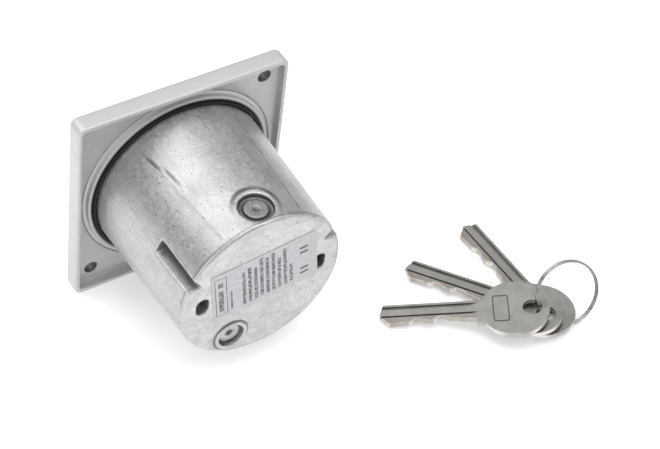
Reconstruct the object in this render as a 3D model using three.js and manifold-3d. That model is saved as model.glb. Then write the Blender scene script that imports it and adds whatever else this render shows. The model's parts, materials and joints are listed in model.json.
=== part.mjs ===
// A flush-mounted key-operated switch: a square front plate with a cast round housing behind it, a half
// profile lock cylinder whose cam drives two small switches, and three keys on a split ring beside it.
//
// Millimetres, +Z up. The origin is on the lock's axis, in the plane of the plate's rear rim, which is the
// wall's surface. The plate's front faces -Y and the housing runs into the wall along +Y.

import * as THREE from 'three';
import { mergeVertices } from 'three/addons/utils/BufferGeometryUtils.js';
import Module from 'manifold-3d';

const wasm = await Module();
wasm.setup();

// ---------------------------------------------------------------- driving dimensions

const PLATE_SIDE = 75;
const PLATE_DEPTH = 7;
const PLATE_CORNER_R = 2.5;
const RIM_WIDTH = 1.6;
const RECESS_DEPTH = 3;
const WALL_HOLE_R = 2.2;
const WALL_HOLE_OFFSET = 30.4;
const COLLAR_INNER_R = 31.45;
const COLLAR_OUTER_R = 32.9;
const COLLAR_HEIGHT = 1.7;

const BODY_DEPTH = 51;
const BODY_FRONT_R = 30.1;
const BODY_REAR_R = 28.6;
const BODY_EDGE_R = 1.3;
const WALL = 2.4;
const END_WALL = 3;

const PROFILE_R = 8.5;
const PROFILE_LEG_HALF = 5;
const PROFILE_BOTTOM = -24.5;
const PROFILE_CLEARANCE = 0.3;
const PLUG_R = 6.5;
const PLUG_CLEARANCE = 0.15;
const PIN_COUNT = 5;
const PIN_PITCH = 4;
const FIRST_PIN_Y = -2.5;
const PIN_R = 1.3;
const PIN_CHAMBER_R = 1.6;

const CAM_REACH = 10.5;
const CAM_TIP_R = 2.5;
const CAM_CLEARANCE = 0.3;
const PLUNGER_X = 6;
const PLUNGER_Z = 13.5;
const ROOF_SLOPE = 0.275;

const KEY_THICKNESS = 1.9;
const KEY_HOLE_R = 3.1;
const KEY_REACH = 50.5;
const BOW_R = 11.5;
const BOW_CENTRE = 5.7;
const BLADE_HALF = 4.1;
const SHOULDER_X = 18.2;
const SHOULDER_HALF = 5.3;
const RING_R = 11.2;
const RING_WIRE_R = 0.42;
const RING_PITCH = 0.95;
const RING_LEAN = THREE.MathUtils.degToRad(61.3);
const RING_FACES = THREE.MathUtils.degToRad(169.2);
const RING_CENTRE = [-102.45, 80.7];

// ---------------------------------------------------------------- positions worked out from them

const PLATE_FRONT = -PLATE_DEPTH;
const RECESS_FLOOR = -RECESS_DEPTH;
const TABLE_Z = -PLATE_SIDE / 2;
const CAVITY_END = BODY_DEPTH - END_WALL;
const ROSETTE_R = 26;
const ROSETTE_FRONT = PLATE_FRONT - 2.2;
const CYLINDER_FRONT = ROSETTE_FRONT - 0.5;
const CYLINDER_BACK = 21.5;
const STUB_R = 4;
const STUB_END = 30.4;
const STUB_FLAT = 3.1;
const CAM_FRONT = 22.1;
const CAM_BACK = 28.9;
const SLIDER_FRONT = 22.7;
const SLIDER_RIDGE = 30;
const SLIDER_HALF = 11.4;
const SLIDER_BOTTOM = 9;
const SLIDER_TOP = 17;
const FRAME_FRONT = 31.2;
const FRAME_BACK = 32.4;
const SWITCH_BACK = FRAME_BACK + 10.2;
const SWITCH_INNER_X = 2.8;
const SWITCH_OUTER_X = 9.2;
const SWITCH_BOTTOM = 2.5;
const SWITCH_TOP = 22.1;
const SWITCH_SCREW = { shankR: 1.05, headR: 2.1, headLength: 1.5, holeR: 1.35, end: 11.4, nutR: 2.4 };
const SWITCH_SCREW_Y = 38;
const SWITCH_SCREW_Z = { lower: 7, upper: 18 };
const CLAMP_SCREW = {
  at: [18.3, -17.5], shankR: 2.3, headR: 4, headLength: 3, nearHoleR: 2.8, farHoleR: 2.5,
};
const CHEEK_INNER = PROFILE_LEG_HALF + PROFILE_CLEARANCE;
const CHEEK_OUTER = 8.3;
const CHEEK_BOTTOM = -23.8;
const CHEEK_TOP = -9.8;
const PILLAR_X = 20.5;
const FRAME_SCREW = { shankR: 1.4, headR: 2.7, headLength: 2.2, holeR: 1.7, end: 40.5 };
const BOSS_X = 19.5;
const BOSS_Z = 9.5;
const SIDE_KNOCKOUT_Y = 43.5;
const SIDE_PAD_Z = 24.6;
const SIDE_POCKET_Z = 26.3;
const SPOT_FACE_Z = 28.3;
const SPOT_FACE_R = 7.6;
const REAR_KNOCKOUT = [9.8, -18.5];
const BACK_SLOT = [21, 0.2];
const GROOVE_ANGLE = THREE.MathUtils.degToRad(24.5);
const GROOVE_ROOT_R = 24.4;
const GROOVE_SPREAD = 0.58;
const GROOVE_START = 31.5;

// ---------------------------------------------------------------- solids

// A closed geometry as a manifold solid. Faces are turned outward first.
function solid(geometry) {
  const bare = geometry.clone();
  bare.deleteAttribute('normal');
  bare.deleteAttribute('uv');
  const merged = mergeVertices(bare, 1e-4);
  const vertices = Float32Array.from(merged.attributes.position.array);
  const triangles = Uint32Array.from(merged.index.array);
  const kept = [];
  for (let i = 0; i < triangles.length; i += 3) {
    const [a, b, c] = triangles.subarray(i, i + 3);
    if (a !== b && b !== c && a !== c) kept.push(a, b, c);
  }
  if (signedVolume(vertices, kept) < 0) {
    for (let i = 0; i < kept.length; i += 3) [kept[i + 1], kept[i + 2]] = [kept[i + 2], kept[i + 1]];
  }
  return new wasm.Manifold(
    new wasm.Mesh({ numProp: 3, vertProperties: vertices, triVerts: Uint32Array.from(kept) }));
}

function signedVolume(vertices, triangles) {
  const corner = (i) => new THREE.Vector3().fromArray(vertices, 3 * i);
  let total = 0;
  for (let i = 0; i < triangles.length; i += 3) {
    const [a, b, c] = [corner(triangles[i]), corner(triangles[i + 1]), corner(triangles[i + 2])];
    total += a.dot(b.cross(c)) / 6;
  }
  return total;
}

function geometryOf(manifold) {
  const mesh = manifold.getMesh();
  const geometry = new THREE.BufferGeometry();
  geometry.setAttribute('position', new THREE.BufferAttribute(Float32Array.from(mesh.vertProperties), 3));
  geometry.setIndex(new THREE.BufferAttribute(Uint32Array.from(mesh.triVerts), 1));
  geometry.computeVertexNormals();
  return geometry;
}

const joined = (...solids) => solids.reduce((whole, piece) => whole.add(piece));
const cut = (whole, ...cutters) => cutters.reduce((rest, cutter) => rest.subtract(cutter), whole);

function block(x0, x1, y0, y1, z0, z1) {
  const box = new THREE.BoxGeometry(x1 - x0, y1 - y0, z1 - z0);
  return solid(box.translate((x0 + x1) / 2, (y0 + y1) / 2, (z0 + z1) / 2));
}

// A cylinder or cone along Y, from y0 to y1, with its axis at (x, z).
function rodY(radius, y0, y1, [x, z] = [0, 0], segments = 32, endRadius = radius) {
  const rod = new THREE.CylinderGeometry(endRadius, radius, y1 - y0, segments);
  return solid(rod.translate(x, (y0 + y1) / 2, z));
}

function rodX(radius, x0, x1, [y, z], segments = 16) {
  const rod = new THREE.CylinderGeometry(radius, radius, x1 - x0, segments);
  return solid(rod.rotateZ(Math.PI / 2).translate((x0 + x1) / 2, y, z));
}

function rodZ(radius, z0, z1, [x, y], segments = 20, topRadius = radius) {
  const rod = new THREE.CylinderGeometry(topRadius, radius, z1 - z0, segments);
  return solid(rod.rotateX(Math.PI / 2).translate(x, y, (z0 + z1) / 2));
}

// A profile of [radius, y] pairs turned about Y. It starts and ends on the axis, or closes on itself.
function turned(profile, segments = 64) {
  const points = profile.map(([radius, y]) => new THREE.Vector2(radius, y));
  return solid(new THREE.LatheGeometry(points, segments));
}

// An outline in the XZ plane, pushed along Y from y0 to y1.
function slab(shape, y0, y1, curveSegments = 6) {
  const geometry = new THREE.ExtrudeGeometry(shape, { depth: y1 - y0, bevelEnabled: false, curveSegments });
  return solid(geometry.rotateX(Math.PI / 2).translate(0, y1, 0));
}

function roundedRectangle(width, height, radius) {
  const [w, h] = [width / 2, height / 2];
  const shape = new THREE.Shape();
  shape.moveTo(-w + radius, -h);
  shape.lineTo(w - radius, -h);
  shape.absarc(w - radius, -h + radius, radius, -Math.PI / 2, 0);
  shape.lineTo(w, h - radius);
  shape.absarc(w - radius, h - radius, radius, 0, Math.PI / 2);
  shape.lineTo(-w + radius, h);
  shape.absarc(-w + radius, h - radius, radius, Math.PI / 2, Math.PI);
  shape.lineTo(-w, -h + radius);
  shape.absarc(-w + radius, -h + radius, radius, Math.PI, 1.5 * Math.PI);
  return shape;
}

function polygon(points) {
  return new THREE.Shape(points.map(([x, y]) => new THREE.Vector2(x, y)));
}

// The half profile cylinder's section, a round head with a leg under it, grown by a clearance.
function profileBar(clearance, y0, y1) {
  const legR = PROFILE_LEG_HALF + clearance;
  const legCentre = PROFILE_BOTTOM + PROFILE_LEG_HALF;
  return joined(
    rodY(PROFILE_R + clearance, y0, y1, [0, 0], 32),
    block(-legR, legR, y0, y1, legCentre, 0),
    rodY(legR, y0, y1, [0, legCentre], 20));
}

// A wire wound about the Y axis, or about another axis once it is turned.
class Coil extends THREE.Curve {
  constructor(radius, turns, length) {
    super();
    Object.assign(this, { radius, turns, length });
  }

  getPoint(t, target = new THREE.Vector3()) {
    const angle = 2 * Math.PI * this.turns * t;
    return target.set(
      this.radius * Math.cos(angle), this.length * (t - 0.5), this.radius * Math.sin(angle));
  }
}

function coil(radius, wireR, turns, length, stepsPerTurn, sides = 6) {
  const section = new THREE.Shape();
  for (let i = 0; i < sides; i += 1) {
    const angle = (2 * Math.PI * i) / sides;
    const point = [wireR * Math.cos(angle), wireR * Math.sin(angle)];
    if (i === 0) section.moveTo(...point);
    else section.lineTo(...point);
  }
  return solid(new THREE.ExtrudeGeometry(section, {
    steps: Math.round(turns * stepsPerTurn),
    bevelEnabled: false,
    extrudePath: new Coil(radius, turns, length),
  }));
}

// ---------------------------------------------------------------- materials

const finish = (color, roughness, metalness) => (
  new THREE.MeshStandardMaterial({ color, roughness, metalness }));
const MATERIALS = {
  plate: finish(0xc9ccce, 0.45, 0.6),
  casting: finish(0xb9b6b0, 0.6, 0.7),
  rubber: finish(0x1b1b1c, 0.8, 0),
  label: finish(0xc6c4cf, 0.5, 0),
  nickel: finish(0xb8b4aa, 0.3, 0.9),
  brass: finish(0xb59a52, 0.35, 0.9),
  steel: finish(0x9b9da0, 0.35, 0.9),
  plastic: finish(0x26282b, 0.5, 0),
  frame: finish(0xd8d6cc, 0.6, 0),
};

const object = new THREE.Group();
const lock = new THREE.Group();
const keySet = new THREE.Group();
object.add(lock, keySet);

function addMesh(group, name, manifold, material) {
  const mesh = new THREE.Mesh(geometryOf(manifold), material);
  mesh.name = name;
  group.add(mesh);
  return mesh;
}

// ---------------------------------------------------------------- front plate

const bodyRadius = (y) => BODY_FRONT_R + ((BODY_REAR_R - BODY_FRONT_R) * y) / BODY_DEPTH;
const PLATE_SCREW = { shankR: 1.8, holeR: 2.1, headR: 3.5, seatR: 3.9, headDepth: 1.8, end: 7.5 };
const plateScrewSeats = [[BOSS_X, BOSS_Z], [-BOSS_X, BOSS_Z], [-BOSS_X, -BOSS_Z], [BOSS_X, -BOSS_Z]];

function frontPlate() {
  const recess = PLATE_SIDE - 2 * RIM_WIDTH;
  const tray = cut(
    slab(roundedRectangle(PLATE_SIDE, PLATE_SIDE, PLATE_CORNER_R), PLATE_FRONT, 0),
    slab(roundedRectangle(recess, recess, PLATE_CORNER_R - 1), RECESS_FLOOR, 1));
  const collarTop = RECESS_FLOOR + COLLAR_HEIGHT;
  const collar = cut(
    rodY(COLLAR_OUTER_R, RECESS_FLOOR - 1, collarTop, [0, 0], 56),
    rodY(COLLAR_INNER_R, RECESS_FLOOR, collarTop + 1, [0, 0], 56));
  const cheek = (side) => {
    const [x0, x1] = side > 0 ? [CHEEK_INNER, CHEEK_OUTER] : [-CHEEK_OUTER, -CHEEK_INNER];
    return block(x0, x1, RECESS_FLOOR - 1, CYLINDER_BACK, CHEEK_BOTTOM, CHEEK_TOP);
  };
  const wallHoles = [-1, 1].map((side) => rodY(
    WALL_HOLE_R, PLATE_FRONT - 1, 1, [side * WALL_HOLE_OFFSET, -side * WALL_HOLE_OFFSET], 16));
  const screwHoles = plateScrewSeats.flatMap((seat) => [
    rodY(PLATE_SCREW.holeR, PLATE_FRONT - 1, RECESS_FLOOR + 1, seat, 12),
    rodY(PLATE_SCREW.seatR, PLATE_FRONT - 0.1, PLATE_FRONT + PLATE_SCREW.headDepth, seat, 12,
      PLATE_SCREW.holeR)]);
  return cut(
    joined(tray, collar, cheek(1), cheek(-1)),
    profileBar(PROFILE_CLEARANCE, PLATE_FRONT - 1, CYLINDER_BACK + 1),
    rodX(CLAMP_SCREW.nearHoleR, 0, CHEEK_OUTER + 1, CLAMP_SCREW.at),
    rodX(CLAMP_SCREW.farHoleR, -CHEEK_OUTER - 1, 0, CLAMP_SCREW.at),
    ...wallHoles,
    ...screwHoles);
}

function plateSeal() {
  const inner = bodyRadius(RECESS_FLOOR) + 0.2;
  const outer = COLLAR_INNER_R - 0.1;
  const top = -0.4;
  const chamfer = 0.4;
  return turned([
    [inner, RECESS_FLOOR], [outer, RECESS_FLOOR], [outer, top - chamfer], [outer - chamfer, top],
    [inner, top - chamfer / 2], [inner, RECESS_FLOOR]], 56);
}

function rosette() {
  const [slopeWidth, slopeDepth] = [1.6, 0.9];
  const disc = turned([
    [0, ROSETTE_FRONT], [ROSETTE_R - slopeWidth, ROSETTE_FRONT], [ROSETTE_R, ROSETTE_FRONT + slopeDepth],
    [ROSETTE_R, PLATE_FRONT], [0, PLATE_FRONT]], 56);
  return cut(disc, profileBar(PROFILE_CLEARANCE, ROSETTE_FRONT - 1, PLATE_FRONT + 1));
}

function countersunkScrew([x, z]) {
  const { shankR, headR, headDepth, end } = PLATE_SCREW;
  const [slotHalfWidth, slotHalfLength, slotDepth] = [0.4, 2.6, 0.9];
  const slot = block(
    x - slotHalfWidth, x + slotHalfWidth, PLATE_FRONT - 1, PLATE_FRONT + slotDepth,
    z - slotHalfLength, z + slotHalfLength);
  const head = rodY(headR, PLATE_FRONT + 0.1, PLATE_FRONT + headDepth, [x, z], 12, shankR);
  return cut(joined(head, rodY(shankR, PLATE_FRONT + headDepth - 0.1, end, [x, z], 12)), slot);
}

addMesh(lock, 'front_plate', frontPlate(), MATERIALS.plate);
addMesh(lock, 'plate_seal', plateSeal(), MATERIALS.rubber);
addMesh(lock, 'front_rosette', rosette(), MATERIALS.nickel);
plateScrewSeats.forEach((seat, i) => {
  addMesh(lock, `plate_screw_${i + 1}`, countersunkScrew(seat), MATERIALS.steel);
});

// ---------------------------------------------------------------- cast housing

function taperedShell() {
  const rim = bodyRadius(BODY_DEPTH);
  const edge = [];
  for (let i = 0; i <= 3; i += 1) {
    const angle = (i * Math.PI) / 6;
    edge.push([
      rim - BODY_EDGE_R * (1 - Math.cos(angle)), BODY_DEPTH - BODY_EDGE_R * (1 - Math.sin(angle))]);
  }
  return turned([
    [0, RECESS_FLOOR], [bodyRadius(RECESS_FLOOR), RECESS_FLOOR], ...edge, [0, BODY_DEPTH]], 64);
}

// Each side groove is a V cut in from the rear, with its root nearer the axis than the cavity wall.
function sideGroove(side) {
  const reach = 34 - GROOVE_ROOT_R;
  const wedge = polygon([[0, 0], [reach, -reach * GROOVE_SPREAD], [reach, reach * GROOVE_SPREAD]]);
  const angle = side > 0 ? GROOVE_ANGLE : Math.PI - GROOVE_ANGLE;
  const geometry = new THREE.ExtrudeGeometry(wedge, {
    depth: BODY_DEPTH + 2 - GROOVE_START, bevelEnabled: false });
  geometry.translate(GROOVE_ROOT_R, 0, 0).rotateZ(angle);
  return solid(geometry.rotateX(Math.PI / 2).translate(0, BODY_DEPTH + 2, 0));
}

function slotShape([x, z], width, height) {
  const shape = roundedRectangle(width, height, width / 2 - 0.01);
  return shape.getPoints(3).map((p) => [p.x + x, p.y + z]);
}

function bodyHousing() {
  const polar = (radius, angle) => [radius * Math.cos(angle), radius * Math.sin(angle)];
  const cavity = rodY(
    bodyRadius(RECESS_FLOOR) - WALL, RECESS_FLOOR - 1, CAVITY_END, [0, 0], 48,
    bodyRadius(CAVITY_END) - WALL);
  const [pillarInner, pillarOuter, pillarHalf] = [17, 29, 4.5];
  const pillars = [-1, 1].map((side) => {
    const [x0, x1] = side > 0 ? [pillarInner, pillarOuter] : [-pillarOuter, -pillarInner];
    return block(x0, x1, FRAME_BACK, CAVITY_END + 1, -pillarHalf, pillarHalf);
  });
  const [bossR, bossWebR, bossEnd, webOutward] = [4, 3, 10, 1.2];
  const bosses = plateScrewSeats.flatMap(([x, z]) => [
    rodY(bossR, RECESS_FLOOR, bossEnd, [x, z], 12),
    rodY(bossWebR, RECESS_FLOOR, bossEnd, [x * webOutward, z * webOutward], 12)]);
  const [ribR, ribOut] = [4.6, 27];
  const ribs = [GROOVE_ANGLE, Math.PI - GROOVE_ANGLE].map((angle) => rodY(
    ribR, GROOVE_START - 2.5, CAVITY_END + 1, polar(ribOut, angle), 12));
  const pad = rodZ(SPOT_FACE_R, SIDE_PAD_Z, bodyRadius(0) - 1, [0, SIDE_KNOCKOUT_Y], 20);
  const hollow = cut(cavity, ...pillars, ...bosses, ...ribs, pad);
  const rear = BODY_DEPTH;
  const ringOuterR = 5.8;
  const ringInnerR = 4.3;
  const knockoutRing = rodY(ringOuterR, rear - 1, rear + 0.7, REAR_KNOCKOUT, 24);
  const knockoutRecess = rodY(ringInnerR, rear - 0.8, rear + 2, REAR_KNOCKOUT, 24);
  const dimple = rodY(0.2, rear - 1.5, rear, REAR_KNOCKOUT, 12, 1.3);
  const shell = cut(joined(taperedShell(), knockoutRing), hollow);
  const plateScrewHoleR = PLATE_SCREW.shankR + 0.2;
  const drillings = [
    ...plateScrewSeats.map((seat) => rodY(
      plateScrewHoleR, RECESS_FLOOR - 1, PLATE_SCREW.end + 1, seat, 10)),
    ...[-1, 1].map((side) => rodY(
      FRAME_SCREW.holeR, FRAME_BACK - 1, FRAME_SCREW.end + 1, [side * PILLAR_X, 0], 10))];
  const [slotWidth, slotHeight, slotBottom] = [4.4, 6.8, 43.5];
  const backSlots = [-1, 1].map((side) => slab(
    polygon(slotShape([side * BACK_SLOT[0], BACK_SLOT[1]], slotWidth, slotHeight)), slotBottom, rear + 1));
  const above = bodyRadius(0) + 2;
  const [pocketR, discR, discTop] = [5.7, 4, 27.6];
  const sidePocket = cut(
    rodZ(pocketR, SIDE_POCKET_Z, above, [0, SIDE_KNOCKOUT_Y], 24),
    rodZ(discR, SIDE_POCKET_Z - 1, discTop, [0, SIDE_KNOCKOUT_Y], 20),
  ).add(rodZ(0.2, discTop - 0.8, discTop + 0.1, [0, SIDE_KNOCKOUT_Y], 12, 1.2));
  const spotFace = rodZ(SPOT_FACE_R, SPOT_FACE_Z, above, [0, SIDE_KNOCKOUT_Y], 28);
  return cut(shell, ...drillings, ...backSlots, sideGroove(1), sideGroove(-1), sidePocket, spotFace,
    knockoutRecess, dimple);
}

function label() {
  const [width, height, cornerR, thickness] = [37.5, 22, 0.8, 0.15];
  const [tilt, centreX, centreZ] = [6.5, -0.9, 3.7];
  const sheet = slab(roundedRectangle(width, height, cornerR), BODY_DEPTH, BODY_DEPTH + thickness, 3);
  return sheet.rotate([0, tilt, 0]).translate([centreX, 0, centreZ]);
}

addMesh(lock, 'body_housing', bodyHousing(), MATERIALS.casting);
addMesh(lock, 'inspection_label', label(), MATERIALS.label);

// ---------------------------------------------------------------- half profile cylinder

const pinStations = Array.from({ length: PIN_COUNT }, (_, i) => FIRST_PIN_Y + i * PIN_PITCH);
const SHEAR_Z = -PLUG_R;
const KEY_PIN_TIPS = [-3.1, -2.2, -3.5, -2.6, -3.0];
const COVER_STRIP = { halfWidth: 1.6, front: -5, back: 16, bottom: -24, top: -23.2, gap: 0.1 };

function cylinderHousing() {
  const chambers = pinStations.map((y) => rodZ(PIN_CHAMBER_R, PROFILE_BOTTOM - 1, SHEAR_Z + 1, [0, y], 12));
  const { halfWidth, front, back, top, gap } = COVER_STRIP;
  const stripSeat = block(
    -halfWidth - 0.3, halfWidth + 0.3, front - 0.2, back + 0.2, PROFILE_BOTTOM - 1, top + gap);
  return cut(
    profileBar(0, CYLINDER_FRONT, CYLINDER_BACK),
    rodY(PLUG_R + PLUG_CLEARANCE, CYLINDER_FRONT - 1, CYLINDER_BACK + 1, [0, 0], 36),
    rodX(CLAMP_SCREW.shankR + 0.4, -CHEEK_OUTER, CHEEK_OUTER, CLAMP_SCREW.at),
    ...chambers,
    stripSeat);
}

function plug() {
  const barrel = rodY(PLUG_R, CYLINDER_FRONT - 0.2, CYLINDER_BACK + 0.3, [0, 0], 36);
  const stub = rodY(STUB_R, CYLINDER_BACK, STUB_END, [0, 0], 24).intersect(
    block(-STUB_FLAT, STUB_FLAT, CYLINDER_BACK - 1, STUB_END + 1, -STUB_R - 1, STUB_R + 1));
  const [keywayHalf, keywayBottom, keywayTop, keywayEnd, chamberTop] = [1.25, -4.4, 4, 19.5, -1.9];
  const sideRib = [-2, -1.6, -0.2];
  const keyway = joined(
    block(-keywayHalf, keywayHalf, CYLINDER_FRONT - 1, keywayEnd, keywayBottom, keywayTop),
    block(sideRib[0], 0, CYLINDER_FRONT - 1, keywayEnd, sideRib[1], sideRib[2]));
  const chambers = pinStations.map((y) => rodZ(PIN_CHAMBER_R, SHEAR_Z - 1, chamberTop, [0, y], 12));
  return cut(joined(barrel, stub), keyway, ...chambers);
}

const DRIVER_PIN = { bottom: -10.9, top: -6.95 };

function keyPin(y, tip) {
  const [pointLength, pointR] = [0.8, 0.5];
  return joined(
    rodZ(PIN_R, SHEAR_Z + 0.3, tip - pointLength, [0, y], 10),
    rodZ(PIN_R, tip - pointLength, tip, [0, y], 10, pointR));
}

function pinSpring(y) {
  const [bottom, top] = [COVER_STRIP.top + 0.4, DRIVER_PIN.bottom - 0.3];
  const [coilR, wireR, turns] = [1.1, 0.2, 4.5];
  const spring = coil(coilR, wireR, turns, top - bottom - 2 * wireR, 7, 4);
  return spring.rotate([90, 0, 0]).translate([0, y, (bottom + top) / 2]);
}

function clampScrew() {
  const { at, shankR, headR, headLength } = CLAMP_SCREW;
  const headEnd = CHEEK_OUTER + headLength;
  const [slotDepth, slotHalf] = [1.2, 0.5];
  const slot = block(
    headEnd - slotDepth, headEnd + 1, at[0] - slotHalf, at[0] + slotHalf,
    at[1] - headR - 1, at[1] + headR + 1);
  const shankEnd = -7.4;
  return cut(joined(
    rodX(shankR, shankEnd, CHEEK_OUTER + 0.5, at),
    rodX(headR, CHEEK_OUTER, headEnd, at)), slot);
}

addMesh(lock, 'cylinder_housing', cylinderHousing(), MATERIALS.nickel);
addMesh(lock, 'cylinder_screw', clampScrew(), MATERIALS.steel);
addMesh(lock, 'plug', plug(), MATERIALS.nickel);
pinStations.forEach((y, i) => {
  addMesh(lock, `key_pin_${i + 1}`, keyPin(y, KEY_PIN_TIPS[i]), MATERIALS.brass);
  const driver = rodZ(PIN_R, DRIVER_PIN.bottom, DRIVER_PIN.top, [0, y], 10);
  addMesh(lock, `driver_pin_${i + 1}`, driver, MATERIALS.steel);
  addMesh(lock, `pin_spring_${i + 1}`, pinSpring(y), MATERIALS.steel);
});

function coverStrip() {
  const { halfWidth, front, back, bottom, top } = COVER_STRIP;
  return block(-halfWidth, halfWidth, front, back, bottom, top);
}

addMesh(lock, 'pin_cover_strip', coverStrip(), MATERIALS.brass);

// ---------------------------------------------------------------- cam and switch drive

function cam() {
  const [noseFront, noseBack, noseHalf, hubR] = [24.6, 28.6, 1.6, 5.4];
  const boreR = STUB_R + CAM_CLEARANCE;
  const flat = STUB_FLAT + CAM_CLEARANCE;
  const bore = rodY(boreR, CAM_FRONT - 1, CAM_BACK + 1, [0, 0], 24).intersect(
    block(-flat, flat, CAM_FRONT - 1, CAM_BACK + 1, -boreR - 1, boreR + 1));
  return cut(
    joined(
      rodY(hubR, CAM_FRONT, CAM_BACK, [0, 0], 24),
      block(-noseHalf, noseHalf, noseFront, noseBack, 0, CAM_REACH),
      rodY(CAM_TIP_R, noseFront, noseBack, [0, CAM_REACH], 16)),
    bore);
}

function circlip() {
  const [front, back, outerR, gapHalf] = [29.2, 30, 6, 1.5];
  return cut(
    rodY(outerR, front, back, [0, 0], 24),
    rodY(STUB_R + CAM_CLEARANCE, front - 1, back + 1, [0, 0], 24),
    block(-gapHalf, gapHalf, front - 1, back + 1, -outerR - 1, 0));
}

function slider() {
  const eaves = SLIDER_RIDGE - ROOF_SLOPE * SLIDER_HALF;
  const roof = polygon([
    [-SLIDER_HALF, SLIDER_FRONT], [SLIDER_HALF, SLIDER_FRONT], [SLIDER_HALF, eaves], [0, SLIDER_RIDGE],
    [-SLIDER_HALF, eaves]]);
  const depth = SLIDER_TOP - SLIDER_BOTTOM;
  const bar = solid(new THREE.ExtrudeGeometry(roof, { depth, bevelEnabled: false })
    .translate(0, 0, SLIDER_BOTTOM));
  const notch = CAM_TIP_R + 0.4;
  const notchTop = CAM_REACH + CAM_TIP_R + 0.6;
  return cut(bar, block(-notch, notch, SLIDER_FRONT - 1, SLIDER_RIDGE + 1, SLIDER_BOTTOM - 1, notchTop));
}

function switchFrame() {
  const [half, bottom, top, armEnd, armHalf] = [13, -8, 21, 23.6, 4.4];
  const plate = joined(
    block(-half, half, FRAME_FRONT, FRAME_BACK, bottom, top),
    block(-armEnd, armEnd, FRAME_FRONT, FRAME_BACK, -armHalf, armHalf));
  const [gap, lip, lowerLipInner] = [0.3, 1.2, 8];
  const lipBack = FRAME_FRONT + 0.5;
  const lowerLip = [SLIDER_BOTTOM - gap - lip, SLIDER_BOTTOM - gap];
  const lips = [
    block(-half, half, SLIDER_FRONT, lipBack, SLIDER_TOP + gap, SLIDER_TOP + gap + lip),
    block(lowerLipInner, half, SLIDER_FRONT, lipBack, ...lowerLip),
    block(-half, -lowerLipInner, SLIDER_FRONT, lipBack, ...lowerLip)];
  const web = block(-SWITCH_INNER_X, SWITCH_INNER_X, FRAME_BACK - 0.5, SWITCH_BACK - 1, 3, top);
  const plungerHoleR = 1.8;
  const holes = [-1, 1].flatMap((side) => [
    rodY(plungerHoleR, FRAME_FRONT - 1, FRAME_BACK + 0.2, [side * PLUNGER_X, PLUNGER_Z], 16),
    rodY(FRAME_SCREW.holeR, FRAME_FRONT - 1, FRAME_BACK + 1, [side * PILLAR_X, 0], 12)]);
  const screwHoles = Object.values(SWITCH_SCREW_Z).map((z) => rodX(
    SWITCH_SCREW.holeR, -SWITCH_INNER_X - 1, SWITCH_INNER_X + 1, [SWITCH_SCREW_Y, z], 12));
  return cut(joined(plate, ...lips, web), ...holes, ...screwHoles);
}

function frameScrew(side) {
  const at = [side * PILLAR_X, 0];
  const { shankR, headR, headLength, end } = FRAME_SCREW;
  const headFront = FRAME_FRONT - headLength;
  const [slotHalf, slotDepth] = [0.35, 0.9];
  const slot = block(
    at[0] - slotHalf, at[0] + slotHalf, headFront - 1, headFront + slotDepth, -headR - 1, headR + 1);
  return cut(joined(
    rodY(headR, headFront, FRAME_FRONT, at, 16),
    rodY(shankR, FRAME_FRONT - 0.5, end, at, 12)), slot);
}

// The two switches stand either side of the frame's web, with one pair of screws through both.
const PLUNGER = { r: 1.2, tipR: 0.4, tipLength: 0.8, end: 35.6, boreR: 1.6, boreEnd: 37.3, slack: 0.35 };

function microswitch(side) {
  const [x0, x1] = side > 0 ? [SWITCH_INNER_X, SWITCH_OUTER_X] : [-SWITCH_OUTER_X, -SWITCH_INNER_X];
  const screwHoles = Object.values(SWITCH_SCREW_Z).map((z) => rodX(
    SWITCH_SCREW.holeR, x0 - 1, x1 + 1, [SWITCH_SCREW_Y, z], 12));
  return cut(
    block(x0, x1, FRAME_BACK, SWITCH_BACK, SWITCH_BOTTOM, SWITCH_TOP),
    rodY(PLUNGER.boreR, FRAME_BACK - 1, PLUNGER.boreEnd, [side * PLUNGER_X, PLUNGER_Z], 16),
    ...screwHoles);
}

function plunger(side) {
  const { r, tipR, tipLength, end, slack } = PLUNGER;
  const tip = SLIDER_RIDGE - ROOF_SLOPE * PLUNGER_X + slack;
  const at = [side * PLUNGER_X, PLUNGER_Z];
  return joined(rodY(tipR, tip, tip + tipLength, at, 14, r), rodY(r, tip + tipLength, end, at, 14));
}

function switchScrew(z) {
  const at = [SWITCH_SCREW_Y, z];
  const { shankR, headR, headLength, end } = SWITCH_SCREW;
  const headEnd = SWITCH_OUTER_X + headLength;
  const [slotHalf, slotDepth] = [0.3, 0.7];
  const slot = block(
    headEnd - slotDepth, headEnd + 1, at[0] - headR - 1, at[0] + headR + 1, z - slotHalf, z + slotHalf);
  return cut(joined(
    rodX(shankR, -end, SWITCH_OUTER_X + 0.5, at, 12),
    rodX(headR, SWITCH_OUTER_X, headEnd, at, 16)), slot);
}

function switchNut(z) {
  const at = [SWITCH_SCREW_Y, z];
  const { nutR, shankR, end } = SWITCH_SCREW;
  const height = 1.6;
  return cut(
    rodX(nutR, -SWITCH_OUTER_X - height, -SWITCH_OUTER_X, at, 6),
    rodX(shankR + 0.25, -end - 1, -SWITCH_OUTER_X + 1, at, 12));
}

function returnSpring() {
  const [coilR, wireR, turns, length, middleY] = [6.15, 0.3, 2.25, 1.4, 23.35];
  return coil(coilR, wireR, turns, length, 14, 5).translate([0, middleY, 0]);
}

const TERMINAL = { heights: [5, 12.3, 19.6], halfWidth: 1.4, halfThickness: 0.25, length: 4.2 };

function terminal(x, z) {
  const { halfWidth, halfThickness, length } = TERMINAL;
  return block(
    x - halfWidth, x + halfWidth, SWITCH_BACK, SWITCH_BACK + length, z - halfThickness, z + halfThickness);
}

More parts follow.
